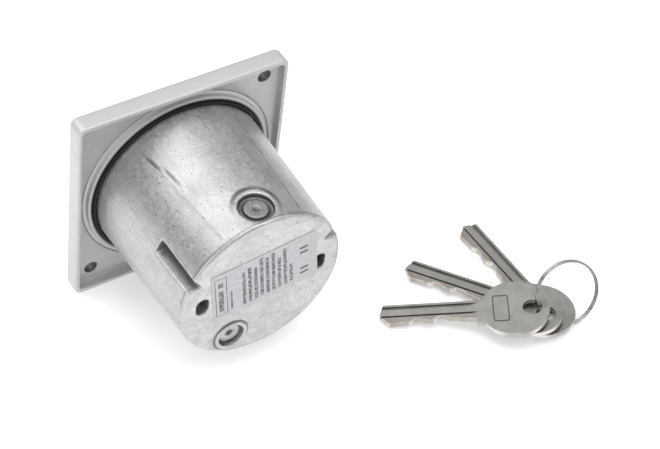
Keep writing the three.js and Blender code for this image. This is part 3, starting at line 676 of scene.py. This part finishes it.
MATERIALS = {
    "plate_paint": plate_paint(),
    "raw_casting": raw_casting(),
    "seal_rubber": seal_rubber(),
    "label_film": label_film(),
    "rosette_nickel": satin_nickel("brushed_nickel", "Z"),
    "key_nickel": satin_nickel(),
    "ring_steel": polished_steel(),
    "brass": machined_brass(),
    "steel": plated_steel(),
    "switch_plastic": moulded_plastic("dark_thermoset", (0.012, 0.013, 0.014), (0.022, 0.023, 0.026), 0.45),
    "frame_plastic": moulded_plastic("ivory_nylon", (0.55, 0.53, 0.47), (0.64, 0.62, 0.56), 0.5),
}


# ---------------------------------------------------------------- front plate, seal and rosette

def square_path(half, corner):
    """Points round a square with round corners, equally many for every size."""
    w = half - corner
    per_corner, per_side = 12, 40
    points = []
    for quarter, (x, z) in enumerate([(w, w), (-w, w), (-w, -w), (w, -w)]):
        corner_points = arc((x, z), corner, 90 * quarter, 90 * quarter + 90, per_corner)
        points += corner_points
        x0, z0 = corner_points[-1]
        nx, nz = [(-w, w), (-w, -w), (w, -w), (w, w)][quarter]
        turn = math.radians(90 * quarter + 90)
        x1, z1 = nx + corner * math.cos(turn), nz + corner * math.sin(turn)
        for i in range(1, per_side):
            points.append((x0 + (x1 - x0) * i / per_side, z0 + (z1 - z0) * i / per_side))
    return points


def plate_loops():
    rays = square_path(PLATE_HALF, PLATE_CORNER_R)
    directions = [Vector(p).normalized() for p in rays]

    def circle(radius, y):
        return [(radius * d.x, y, radius * d.y) for d in directions]

    def square(half, corner, y):
        return [(x, y, z) for x, z in square_path(half, corner)]

    recess = PLATE_HALF - RIM_WIDTH
    floor = RECESS_FLOOR
    loops = [circle(r, y) for r, y in [
        (PLATE_CAP_R, floor), (COLLAR_INNER_R, floor), (COLLAR_INNER_R, COLLAR_TOP - 0.25),
        (COLLAR_INNER_R + 0.08, COLLAR_TOP - 0.08), (COLLAR_INNER_R + 0.25, COLLAR_TOP),
        (COLLAR_OUTER_R - 0.45, COLLAR_TOP), (COLLAR_OUTER_R - 0.15, COLLAR_TOP - 0.12),
        (COLLAR_OUTER_R, COLLAR_TOP - 0.45), (COLLAR_OUTER_R + 0.05, floor + 0.4),
        (COLLAR_OUTER_R + 0.17, floor + 0.13), (COLLAR_OUTER_R + 0.45, floor),
        (SCRIBED_R - 0.35, floor), (SCRIBED_R - 0.22, floor - 0.06),
        (SCRIBED_R - 0.14, floor - SCRIBED_DEPTH), (SCRIBED_R + 0.14, floor - SCRIBED_DEPTH),
        (SCRIBED_R + 0.22, floor - 0.06), (SCRIBED_R + 0.32, floor)]]
    loops += [square(recess - inset, corner, y) for inset, corner, y in [
        (0.95, 1.0, floor), (0.72, 1.05, floor + 0.07), (0.4, 1.2, floor + 0.3), (0.18, 1.35, floor + 0.75),
        (0.1, 1.4, -0.5), (0.06, 1.45, -0.3), (-0.02, 1.5, -0.1), (-0.2, 1.6, 0)]]
    loops += [square(PLATE_HALF - inset, corner, y) for inset, corner, y in [
        (0.75, 1.9, 0), (0.42, 2.1, -0.06), (0.16, 2.3, -0.24), (0.03, 2.45, -0.55), (0, 2.5, -0.9),
        (0, 2.5, PLATE_FRONT + 1.5), (0.1, 2.45, PLATE_FRONT + 0.95), (0.4, 2.3, PLATE_FRONT + 0.4),
        (0.9, 2.1, PLATE_FRONT + 0.1), (1.6, 2.0, PLATE_FRONT)]]
    loops.append(circle(PLATE_CAP_R, PLATE_FRONT))
    return loops


def profile_outline(clearance):
    """The half profile cylinder's section: a round head over a leg with a round foot."""
    head, leg = PROFILE_R + clearance, PROFILE_LEG + clearance
    shoulder = math.degrees(math.asin(leg / head))
    foot = arc((0, PROFILE_BOTTOM + PROFILE_LEG), leg, 180, 360, 25)
    return arc((0, 0), head, 270 + shoulder, 270 - shoulder + 360, 65) + foot


def wall_hole(side):
    """A round cutter for one of the wall screws. It opens by a chamfer at both faces."""
    wide = WALL_HOLE_R + HOLE_CHAMFER + 1
    profile = [(wide, PLATE_FRONT - 1), (WALL_HOLE_R, PLATE_FRONT + HOLE_CHAMFER),
               (WALL_HOLE_R, RECESS_FLOOR - HOLE_CHAMFER), (wide, RECESS_FLOOR + 1)]
    cutter = turned("wall_hole", profile, 48)
    cutter.data.transform(Matrix.Translation((side * WALL_HOLE_OFFSET, 0, -side * WALL_HOLE_OFFSET)))
    return cutter


def screw_places():
    """X and Z of the four screws that hold the housing to the plate."""
    return [(sx * BOSS_X, sz * BOSS_Z) for sx, sz in CORNERS]


def plate_shade(plate):
    """Keeps painted shade: in the wall holes, on the edge beside the seal and in the line scribed round the
    collar.
    """
    x, y, z = vertices_of(plate).T
    in_hole = np.zeros(len(x), bool)
    for side in (-1, 1):
        from_hole = np.hypot(x - side * WALL_HOLE_OFFSET, z + side * WALL_HOLE_OFFSET)
        in_hole |= from_hole < WALL_HOLE_R + 0.05
    from_axis = np.hypot(x, z)
    by_seal = (np.abs(from_axis - COLLAR_INNER_R) < 0.3) & (y > RECESS_FLOOR + 0.5)
    scribed = (np.abs(from_axis - SCRIBED_R) < 0.16) & (np.abs(y - RECESS_FLOOR + SCRIBED_DEPTH) < 0.1)
    paint(plate, "shade", np.clip(0.9 * in_hole + 0.95 * by_seal + 0.5 * scribed, 0, 1))


def front_plate():
    plate = loft("plate", plate_loops())
    opening = prism("opening", profile_outline(PROFILE_CLEARANCE), PLATE_FRONT - 4, RECESS_FLOOR + 4)
    bores = [rod("bore", SCREW_HOLE_R, PLATE_FRONT - 1, RECESS_FLOOR + 1, at, 32) for at in screw_places()]
    combine(plate, joined("plate_cuts", [opening, wall_hole(-1), wall_hole(1), *bores]), "DIFFERENCE")
    seat_floor = PLATE_FRONT + SCREW_SEAT_DEPTH
    seats = [rod("seat", SCREW_HEAD_R, PLATE_FRONT - 0.1, seat_floor, at, 32, SCREW_HOLE_R)
             for at in screw_places()]
    combine(plate, joined("screw_seats", seats), "DIFFERENCE")
    cheek_end = span("cylinder_housing", "y")[1]
    for side in (-1, 1):
        x0, x1 = sorted(side * x for x in CHEEK_X)
        combine(plate, block("cheek", x0, x1, RECESS_FLOOR - 0.5, cheek_end, *CHEEK_Z), "UNION")
    clamp_hole = rod("clamp_hole", CLAMP_HOLE_R, -CLAMP_HOLE_HALF, CLAMP_HOLE_HALF, (0, 0), 32)
    clamp_hole.data.transform(Matrix.Translation((0, *CLAMP_SCREW)) @ Matrix.Rotation(math.pi / 2, 4, "Z"))
    combine(plate, clamp_hole, "DIFFERENCE")
    plate.name = "plate_with_collar"
    plate_shade(plate)
    smooth_shaded(plate, 32)
    return finished(plate, MATERIALS["plate_paint"], "plate_paint", "lock_case", "front_plate")


def plate_seal():
    """The rubber ring, with a lip that waves a little."""
    inner = body_radius(RECESS_FLOOR) + 0.2
    outer = COLLAR_INNER_R - 0.1
    lip = span("plate_seal", "y")[1]
    section = [
        (inner, RECESS_FLOOR + 0.05), (outer, RECESS_FLOOR + 0.05), (outer, lip - 0.55),
        (outer - 0.06, lip - 0.28), (outer - 0.22, lip - 0.1), (outer - 0.5, lip),
        (outer - 0.75, lip - 0.03), (inner + 0.22, lip - 0.1), (inner + 0.06, lip - 0.28),
        (inner, lip - 0.5)]
    seal = loft("seal_ring", [circle_about_y(r, y, 192) for r, y in section], ring=True)
    co = vertices_of(seal)
    for p in co:
        wave = noise.noise(Vector(p) / 9)
        p[1] += 0.06 * wave * (p[1] > lip - 0.6)
    set_vertices(seal, co)
    smooth_shaded(seal, 40)
    return finished(seal, MATERIALS["seal_rubber"], "seal_rubber", "lock_case", "plate_seal")


def front_rosette():
    disc = turned("rosette", [
        (ROSETTE_CAP_R, PLATE_FRONT), (ROSETTE_R - 0.15, PLATE_FRONT), (ROSETTE_R, PLATE_FRONT - 0.15),
        (ROSETTE_R, ROSETTE_FRONT + 1.1), (ROSETTE_R - 0.12, ROSETTE_FRONT + 0.8),
        (ROSETTE_R - 0.5, ROSETTE_FRONT + 0.4), (ROSETTE_R - 1.2, ROSETTE_FRONT + 0.1),
        (ROSETTE_R - 2, ROSETTE_FRONT), (ROSETTE_CAP_R, ROSETTE_FRONT)], 160)
    opening = prism("opening", profile_outline(PROFILE_CLEARANCE), ROSETTE_FRONT - 3, PLATE_FRONT + 3)
    combine(disc, opening, "DIFFERENCE")
    disc.name = "rosette_cover"
    smooth_shaded(disc, 32)
    return finished(disc, MATERIALS["rosette_nickel"], "rosette_nickel", "lock_case", "front_rosette")


# ---------------------------------------------------------------- cast housing

def groove_cutter(side):
    """A wedge that cuts the V groove on one side. It is drawn along +X and then turned about the Y axis."""
    reach = GROOVE_MOUTH_R - GROOVE_ROOT_R
    spread = reach * GROOVE_SPREAD
    cutter = prism("groove", [(-0.05, -0.25), (reach, -spread), (reach, spread), (-0.05, 0.25)],
                   GROOVE_START, BODY_END + 2)
    angle = GROOVE_ANGLE if side > 0 else math.pi - GROOVE_ANGLE
    cutter.data.transform(Matrix.Rotation(-angle, 4, "Y") @ Matrix.Translation((GROOVE_ROOT_R, 0, 0)))
    return cutter


def body_outside():
    """The housing as a full body, with its grooves, slots and knock-outs cut."""
    rim = body_radius(BODY_END)
    edge = [(rim - BODY_EDGE_R * (1 - math.cos(a)), BODY_END - BODY_EDGE_R * (1 - math.sin(a)))
            for a in (math.radians(10 * i) for i in range(10))]
    shell = turned("shell", [(BODY_CAP_R, RECESS_FLOOR), (body_radius(RECESS_FLOOR), RECESS_FLOOR), *edge,
                             (BODY_CAP_R, BODY_END)], 256)
    ring = rod("knockout_ring", REAR_RING_R, BODY_END - 1, BODY_END + REAR_RING_HEIGHT, REAR_KNOCKOUT, 64)
    combine(shell, ring, "UNION")
    pocket = turned("pocket", [
        (0.2, SIDE_DISC_FACE - 0.8), (1.2, SIDE_DISC_FACE), (SIDE_DISC_R, SIDE_DISC_FACE),
        (SIDE_DISC_R + 0.05, SIDE_GAP_FLOOR), (SIDE_GAP_R - 0.1, SIDE_GAP_FLOOR),
        (SIDE_GAP_R, SIDE_PAD_FACE), (SIDE_PAD_R, SIDE_PAD_FACE), (SIDE_PAD_R, 32)], 64)
    at_knockout = Matrix.Translation((0, SIDE_KNOCKOUT_Y, 0))
    pocket.data.transform(at_knockout @ Matrix.Rotation(math.pi / 2, 4, "X"))
    disc_face = BODY_END - REAR_DISC_DEPTH
    recess = turned("recess", [(0.2, disc_face - 0.8), (1.4, disc_face), (REAR_DISC_R, disc_face),
                               (REAR_DISC_R + 0.15, BODY_END + 2)], 64)
    recess.data.transform(Matrix.Translation((REAR_KNOCKOUT[0], 0, REAR_KNOCKOUT[1])))
    cuts = [groove_cutter(1), groove_cutter(-1), pocket, recess]
    for side in (-1, 1):
        outline = rounded_rectangle(*BACK_SLOT_SIZE, 2.19, 9, (side * BACK_SLOT[0], BACK_SLOT[1]))
        cuts.append(prism("slot", outline, BACK_SLOT_START, BODY_END + 1))
    cuts = joined("outer_cuts", cuts)
    return combine(shell, cuts, "DIFFERENCE")


def marks_along(co, pair, second=1.0):
    """Two lines along the wall: 1 in the middle, and 0 off it. The second line is times second."""
    x, y, z = co.T
    angle = np.degrees(np.arctan2(z, x))
    arc_mm = math.pi / 180 * np.hypot(x, z)
    strengths = []
    for at_front, at_back, width, y0, y1, fade in pair:
        centre = at_front + (at_back - at_front) * (y - y0) / (y1 - y0)
        across = np.abs(angle - centre) * arc_mm / width
        along = np.clip((y - y0) / fade, 0, 1) * np.clip((y1 - y) / fade, 0, 1)
        strengths.append(np.clip(1 - across, 0, 1) * along)
    return strengths[0] + second * strengths[1]


def cast_surface(body):
    """Flow scars, parting ridges, pits and the uneven skin of a die casting."""
    co, normal = vertices_of(body), vertices_of(body, "normal")
    x, y, z = co.T
    wall = near(np.hypot(x, z), body_radius(y), 0.5) * (y < BODY_END - 0.6) * (y > 0.5)
    parting = marks_along(co, PARTING_RIDGES) * wall
    scar = marks_along(co, SCAR_DENTS, 0.8) * wall
    lip = marks_along(co, SCAR_LIPS) * wall
    skin = np.array([noise.fractal(Vector(p) / 7, 0.9, 2.1, 3) + 0.35 * noise.noise(Vector(p) / 1.6)
                     for p in co])
    depth = 0.045 * skin + 0.06 * parting - 0.24 * scar + 0.06 * lip
    for _ in range(PIT_COUNT):
        turn, at = random.uniform(0, 360), random.uniform(2, 49)
        size = random.uniform(0.35, 0.8)
        r = body_radius(at)
        centre = np.array([r * math.cos(math.radians(turn)), at, r * math.sin(math.radians(turn))])
        depth -= 0.16 * size * np.clip(1 - np.linalg.norm(co - centre, axis=1) / size, 0, 1)
    flat = np.clip(np.abs(normal[:, 1]) * 4 - 3, 0, 1) * (y > BODY_END - 3)
    depth *= 1 - 0.65 * flat
    set_vertices(body, co + normal * depth[:, None])


def hollow_shade(x, y, z):
    """Painted shade in the slots, grooves and knock-outs, and painted shadows beside the knock-outs."""
    end = BODY_END - 0.4 - y
    slots = np.abs(np.abs(x) - BACK_SLOT[0]) < BACK_SLOT_SIZE[0] / 2 + 0.4
    slots = slots * (np.abs(z - BACK_SLOT[1]) < BACK_SLOT_SIZE[1] / 2 + 0.4)
    slots = slots * (y > BACK_SLOT_START - 0.5) * np.clip(end / 1.5, 0, 1)
    radius = np.hypot(x, z)
    groove = np.clip((body_radius(y) - 0.4 - radius) / 5, 0, 1) * (y > GROOVE_START - 1)
    groove = groove * np.clip(end / 1.2, 0, 1) * (z < 22) * (radius > GROOVE_ROOT_R - 1)
    from_pad = np.hypot(x, y - SIDE_KNOCKOUT_Y)
    side_gap = (from_pad < SIDE_GAP_R + 0.1) * (z > SIDE_GAP_FLOOR - 0.3)
    side_gap = side_gap * np.clip(SIDE_PAD_FACE - 0.1 - z, 0, 1)
    # Painted shadow on the wall of the side spot face, strongest towards -Y and -X.
    pad_wall = near(from_pad, SIDE_PAD_R, 0.5, 1.7) * (z > 27)
    pad_wall = pad_wall * np.clip(0.4 - (y - SIDE_KNOCKOUT_Y + 0.4 * x) / 10, 0, 1)
    # Painted shade along the rear recess's wall and in its dimple, and a painted shadow round the outside of the
    # raised ring.
    from_recess = np.hypot(x - REAR_KNOCKOUT[0], z - REAR_KNOCKOUT[1])
    recess = 0.95 * near(from_recess, REAR_DISC_R - 0.4, 0.5, 1.4) + 0.9 * np.clip(1.8 - from_recess, 0, 1)
    recess = (recess + 0.8 * near(from_recess, REAR_RING_R + 0.3, 0.4, 1.3)) * (y > BODY_END - 2)
    return 0.15 * slots + 0.75 * side_gap + recess + 0.85 * groove * (slots == 0) + 0.8 * pad_wall


def body_marks(body):
    """Values that the casting's material reads: dim hollows, dark seams and rim, scars and their bright edges."""
    co = vertices_of(body)
    x, y, z = co.T
    radius = np.hypot(x, z)
    wall = (np.abs(radius - body_radius(y)) < 0.6) * (y < BODY_END - 0.3)
    broken = np.array([noise.noise(Vector((0, v / 3, 0))) for v in y]) * 0.5 + 0.6
    seam = marks_along(co, PARTING_DARK_LINES) * wall * broken
    # A darker band round the end face's edge, on its upper part only.
    rim = near(y, BODY_END - BODY_EDGE_R, 0.4) * (radius > 27) * (z > 4)
    paint(body, "shade", np.clip(hollow_shade(x, y, z), 0, 1))
    paint(body, "seam", np.clip(0.85 * seam + 0.75 * rim, 0, 1))
    paint(body, "scar", np.clip(0.9 * marks_along(co, SCAR_DARKENING, 0.8) * wall, 0, 1))
    paint(body, "bright", np.clip(0.4 * marks_along(co, SCAR_SHINE) * wall, 0, 1))


def body_cavity():
    """The hollow inside the housing, with the bosses, pillars and ribs left standing in it."""
    cavity = turned("cavity", [
        (BODY_CAP_R, RECESS_FLOOR - 1), (body_radius(RECESS_FLOOR) - WALL, RECESS_FLOOR - 1),
        (body_radius(CAVITY_END) - WALL, CAVITY_END), (BODY_CAP_R, CAVITY_END)], 96)
    frame_back = span("microswitch_left", "y")[0]
    islands = []
    for side in (-1, 1):
        x0, x1 = sorted(side * x for x in PILLAR_SPAN)
        islands.append(block("pillar", x0, x1, frame_back, CAVITY_END + 1, -PILLAR_HALF, PILLAR_HALF))
    for a in (GROOVE_ANGLE, math.pi - GROOVE_ANGLE):
        at = (RIB_OFFSET * math.cos(a), RIB_OFFSET * math.sin(a))
        islands.append(rod("rib", RIB_R, GROOVE_START - 2.5, CAVITY_END + 1, at, 24))
    pad = rod("pad", SIDE_PAD_R, -29, -24.6, (0, 0), 32)
    at_knockout = Matrix.Translation((0, SIDE_KNOCKOUT_Y, 0))
    pad.data.transform(at_knockout @ Matrix.Rotation(-math.pi / 2, 4, "X"))
    islands.append(pad)
    for x, z in screw_places():
        boss = prism("boss", rounded_rectangle(13, 7, 3.45, 9, (2.2, 0)), RECESS_FLOOR, BOSS_END)
        boss.data.transform(Matrix.Translation((x, 0, z)) @ Matrix.Rotation(-math.atan2(z, x), 4, "Y"))
        islands.append(boss)
    return combine(cavity, joined("islands", islands), "DIFFERENCE")


def body_housing():
    body = remeshed(body_outside(), CASTING_VOXEL, 3)
    cast_surface(body)
    combine(body, body_cavity(), "DIFFERENCE")
    frame_back = span("microswitch_left", "y")[0]
    drillings = [rod("drill", 2, RECESS_FLOOR - 1, BOSS_DRILLED, at, 24) for at in screw_places()]
    for x in (-PILLAR_X, PILLAR_X):
        drillings.append(rod("drill", 1.7, frame_back - 1, PILLAR_DRILLED, (x, 0), 24))
    combine(body, joined("drillings", drillings), "DIFFERENCE")
    body.name = "cast_body"
    body_marks(body)
    smooth_shaded(body, 60)
    return finished(body, MATERIALS["raw_casting"], "raw_casting", "lock_case", "body_housing")


def inspection_label():
    """A foil sheet whose print coordinates run in millimetres from its +X end and its lower edge."""
    width, height = LABEL_SIZE
    sheet = outline_solid("label", [rounded_rectangle(width, height, 0.8, 6)], LABEL_THICKNESS, 0.04, 1)
    layer = sheet.data.uv_layers.new(name="print")
    for loop in sheet.data.loops:
        x, z, _ = sheet.data.vertices[loop.vertex_index].co
        layer.data[loop.index].uv = (width / 2 - x, z + height / 2)
    along_y(sheet, BODY_END + LABEL_GAP, BODY_END + LABEL_GAP + LABEL_THICKNESS)
    turn = Matrix.Rotation(LABEL_TURN, 4, "Y")
    sheet.data.transform(Matrix.Translation((LABEL_CENTRE[0], 0, LABEL_CENTRE[1])) @ turn)
    sheet.name = "foil_label"
    smooth_shaded(sheet, 30)
    return finished(sheet, MATERIALS["label_film"], "label_film", "lock_case", "inspection_label")


# ---------------------------------------------------------------- keys and split ring

def key_outline():
    """The key's edge, from the shoulder round the bow to the straight edge, the tip and the bitted edge."""
    def on_bow(y):
        return BOW_CENTRE + math.sqrt(BOW_R * BOW_R - y * y)

    first = math.degrees(math.asin(SHOULDER_HALF / BOW_R))
    last = 360 - math.degrees(math.asin(NECK_HALF / BOW_R))
    points = arc((BOW_CENTRE, 0), BOW_R, first, last, 90)
    points += [(on_bow(NECK_HALF) + NECK_LENGTH, -BLADE_HALF), (KEY_REACH - 1.2, -BLADE_HALF),
               (KEY_REACH, 0.6), (KEY_REACH - 3.2, BLADE_HALF)]
    for i, depth in reversed(list(enumerate(BITTING))):
        x = CUT_START + i * CUT_PITCH
        points += [(x + CUT_FLOOR, BLADE_HALF - depth), (x, BLADE_HALF - depth)]
    points += [(SHOULDER_X, BLADE_HALF), (SHOULDER_X, SHOULDER_HALF)]
    return points


def groove_bar(low, high, face):
    """A milling cutter's path along the blade, with slanted walls. By the bow the cutter lifts off."""
    floor = KEY_THICKNESS / 2 - KEY_GROOVE_DEPTH
    top = KEY_THICKNESS / 2 + 1.1
    start, slant = KEY_GROOVE_START, KEY_GROOVE_SLANT
    loops = []
    for x, lift in [(start - 1.4, 0.62), (start - 0.6, 0.3), (start + 0.4, 0.08), (start + 1.6, 0),
                    (KEY_REACH + 1, 0)]:
        loops.append([(x, low + slant, floor + lift), (x, high - slant, floor + lift),
                      (x, high + slant, top), (x, low - slant, top)])
    bar = loft("groove_bar", loops)
    if face < 0:
        bar.data.transform(Matrix.Scale(-1, 4, (0, 0, 1)))
        bar.data.flip_normals()
    return bar


def key_mesh():
    """One key: hole at the origin, tip towards +X, with dark groove floors and a plain dark mark."""
    hole = arc((0, 0), KEY_HOLE_R, 0, -360 + 360 / 48, 48)
    key = outline_solid("key", [key_outline(), hole], KEY_THICKNESS, KEY_EDGE)
    combine(key, joined("grooves", [groove_bar(*groove) for groove in KEY_GROOVES]), "DIFFERENCE")
    outer = rounded_rectangle(*BOW_MARK_OUTER, 6, (BOW_MARK_X, 0))
    inner = rounded_rectangle(*BOW_MARK_INNER, 6, (BOW_MARK_X, 0))[::-1]
    cutter_height = 0.4
    middle = (KEY_THICKNESS + cutter_height) / 2 - BOW_MARK_DEPTH
    for face in (-1, 1):
        mark = outline_solid("mark", [outer, inner], cutter_height)
        mark.data.transform(Matrix.Translation((0, 0, face * middle)))
        combine(key, mark, "DIFFERENCE")
    x, _, z = vertices_of(key).T
    depth = KEY_THICKNESS / 2 - np.abs(z)
    groove_floor = 0.55 * (np.abs(depth - KEY_GROOVE_DEPTH) < 0.03)
    mark_floor = 0.8 * (np.abs(depth - BOW_MARK_DEPTH) < 0.03)
    paint(key, "shade", np.where(x > SHOULDER_X, groove_floor, mark_floor))
    smooth_shaded(key, 28)
    flat = key.modifiers.new("flat_faces", "WEIGHTED_NORMAL")
    flat.weight = 100
    flat.keep_sharp = True
    applied(key)
    mesh = key.data
    bpy.data.objects.remove(key)
    return mesh


def place_keys():
    """The three keys, each from its hole on the ring down to its tip near the table."""
    mesh = key_mesh()
    lean_rest = TABLE_Z + KEY_THICKNESS / 2 + 0.15
    swings = {joint["child"]: Vector(joint["pos_m"]) / MM for joint in frame["joints"]
              if joint["name"].endswith("_key_swing")}
    for name, bearing in KEY_BEARINGS.items():
        body = f"{name}_key"
        pivot = swings[body]
        lean = math.asin((pivot.z - lean_rest) / KEY_REACH)
        turn = Matrix.Rotation(math.radians(bearing), 4, "Z") @ Matrix.Rotation(lean, 4, "Y")
        key = link(f"{name}_profile_key", mesh.copy())
        key.data.transform(Matrix.Scale(MM, 4))
        key.matrix_world = Matrix.Translation(pivot * MM) @ turn
        key.data.materials.clear()
        key.data.materials.append(MATERIALS["key_nickel"])
        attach(key, body)
        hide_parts(f"key_{name}")


def split_ring():
    """Two turns of wire lying against each other, with a short step where one turn passes to the next."""
    side = Vector((-math.cos(RING_FACES), -math.sin(RING_FACES), 0))
    up = Vector((-math.sin(RING_FACES) * math.cos(RING_LEAN), math.cos(RING_FACES) * math.cos(RING_LEAN),
                 math.sin(RING_LEAN)))
    across = up.cross(side)
    height = TABLE_Z + RING_WIRE_R + 0.5 * RING_PITCH + RING_R * math.sin(RING_LEAN)
    centre = Vector((*RING_CENTRE, height))
    gap, step = 0.35, 0.28
    sides, count = 12, 300
    loops = []
    for i in range(count + 1):
        a = gap + (4 * math.pi - 2 * gap) * i / count
        shift = 0.5 * RING_PITCH * math.tanh((a - 2 * math.pi) / step)
        ends = min(1.0, (min(i, count - i) + 0.6) / 6) ** 0.5
        out = side * math.cos(a) + up * math.sin(a)
        loops.append([centre + out * (RING_R + RING_WIRE_R * ends * math.cos(t))
                      + across * (shift + RING_WIRE_R * ends * math.sin(t))
                      for t in (2 * math.pi * k / sides for k in range(sides))])
    ring = loft("split_ring", loops)
    smooth_shaded(ring, 50)
    return finished(ring, MATERIALS["ring_steel"], "ring_steel", "ring", "key_ring")


# ---------------------------------------------------------------- pieces that stay as the CAD has them

def dress_cad_nodes():
    """Gives every CAD node that is still shown its material, and the cylinder and the cam a fine bevel."""
    slots = {row["node"]: row["material_slot"] for row in frame["record"]["subparts"]}
    for name, obj in frame["nodes"].items():
        if obj.hide_render:
            continue
        obj.data.materials.clear()
        obj.data.materials.append(MATERIALS[slots[name]])
        if name in ("cylinder_housing", "plug", "cam"):
            bevelled(obj, 0.12 * MM, 2, 40)


# ---------------------------------------------------------------- stage, light and camera

VIEW_AZIMUTH = math.radians(142)
VIEW_ELEVATION = math.radians(46.63)
VIEW_ROLL = math.radians(8.3)
VIEW_DISTANCE = 705.2 * MM
VIEW_ASIDE = 48.0 * MM
VIEW_ABOVE = -14.65 * MM
VIEW_LENS = 119.3

FLOOR_HALF = 3.0
FLOOR_GAP = 0.0002
WORLD_RAMP = {"From Min": 0.0, "From Max": 0.9, "To Min": 0.26, "To Max": 0.88}

# Name, place and size in metres, and power in watts. All of them point at the same place.
LIGHT_TARGET = (-0.03, 0.03, 0)
LIGHTS = (
    ("soft_top", (-0.1, 0.15, 0.9), (0.7, 0.7), 3.0),
    ("soft_left", (0.75, 0.35, 0.35), (0.5, 0.6), 1.6),
    ("soft_right", (-0.7, 0.5, 0.4), (0.5, 0.6), 0.8),
    ("soft_over_plate", (0.29, -0.49, 0.7), (0.75, 0.8), 2.9),
)


def camera():
    a, e, r = VIEW_AZIMUTH, VIEW_ELEVATION, VIEW_ROLL
    back = Vector((math.sin(a) * math.cos(e), -math.cos(a) * math.cos(e), math.sin(e)))
    right = Vector((math.cos(a), math.sin(a), 0))
    up = back.cross(right)
    tilted_right = right * math.cos(r) + up * math.sin(r)
    tilted_up = up * math.cos(r) - right * math.sin(r)
    data = bpy.data.cameras.new("camera")
    data.lens = VIEW_LENS
    data.sensor_width = 36
    data.clip_start = 0.01
    cam = link("camera", data)
    turn = Matrix((tilted_right, tilted_up, back)).transposed().to_4x4()
    where = back * VIEW_DISTANCE + tilted_right * VIEW_ASIDE + tilted_up * VIEW_ABOVE
    cam.matrix_world = Matrix.Translation(where) @ turn
    bpy.context.scene.camera = cam


def area_light(name, where, size, power):
    data = bpy.data.lights.new(name, "AREA")
    data.shape = "RECTANGLE"
    data.size, data.size_y = size
    data.energy = power
    light = link(name, data)
    light.location = where
    light.rotation_mode = "QUATERNION"
    light.rotation_quaternion = (Vector(where) - Vector(LIGHT_TARGET)).to_track_quat("Z", "Y")


def studio_floor():
    """A pale floor that gives off a little light, so that shadows on it stay faint."""
    mesh = bpy.data.meshes.new("floor")
    z = TABLE_Z * MM - FLOOR_GAP
    mesh.from_pydata([(FLOOR_HALF * sx, FLOOR_HALF * sy, z) for sx, sy in CORNERS], [], [(0, 1, 2, 3)])
    floor = link("studio_floor", mesh)
    look = Look("studio_floor", (0.9, 0.9, 0.9), 0, 0.9)
    look.color(look.mix(look.noise(60, 2), (0.9, 0.9, 0.9), (0.92, 0.92, 0.92)))
    look.set("Emission Color", (1, 1, 1, 1))
    look.set("Emission Strength", 0.3)
    floor.data.materials.append(look.material)


def studio_world():
    """White light from all round, dimmer from the sides than from above."""
    world = bpy.data.worlds.new("studio")
    world.use_nodes = True
    tree = world.node_tree
    place = tree.nodes.new("ShaderNodeTexCoord")
    split = tree.nodes.new("ShaderNodeSeparateXYZ")
    tree.links.new(place.outputs["Generated"], split.inputs["Vector"])
    ramp = tree.nodes.new("ShaderNodeMapRange")
    ramp.interpolation_type = "SMOOTHSTEP"
    tree.links.new(split.outputs["Z"], ramp.inputs["Value"])
    for socket, number in WORLD_RAMP.items():
        ramp.inputs[socket].default_value = number
    background = tree.nodes["Background"]
    background.inputs["Color"].default_value = (1, 1, 1, 1)
    tree.links.new(ramp.outputs["Result"], background.inputs["Strength"])
    bpy.context.scene.world = world


def stage():
    studio_floor()
    studio_world()
    for name, where, size, power in LIGHTS:
        area_light(name, where, size, power)
    settings = bpy.context.scene.view_settings
    settings.view_transform = "Standard"
    settings.look = "None"


camera()
stage()
front_plate()
plate_seal()
front_rosette()
body_housing()
inspection_label()
place_keys()
split_ring()
dress_cad_nodes()
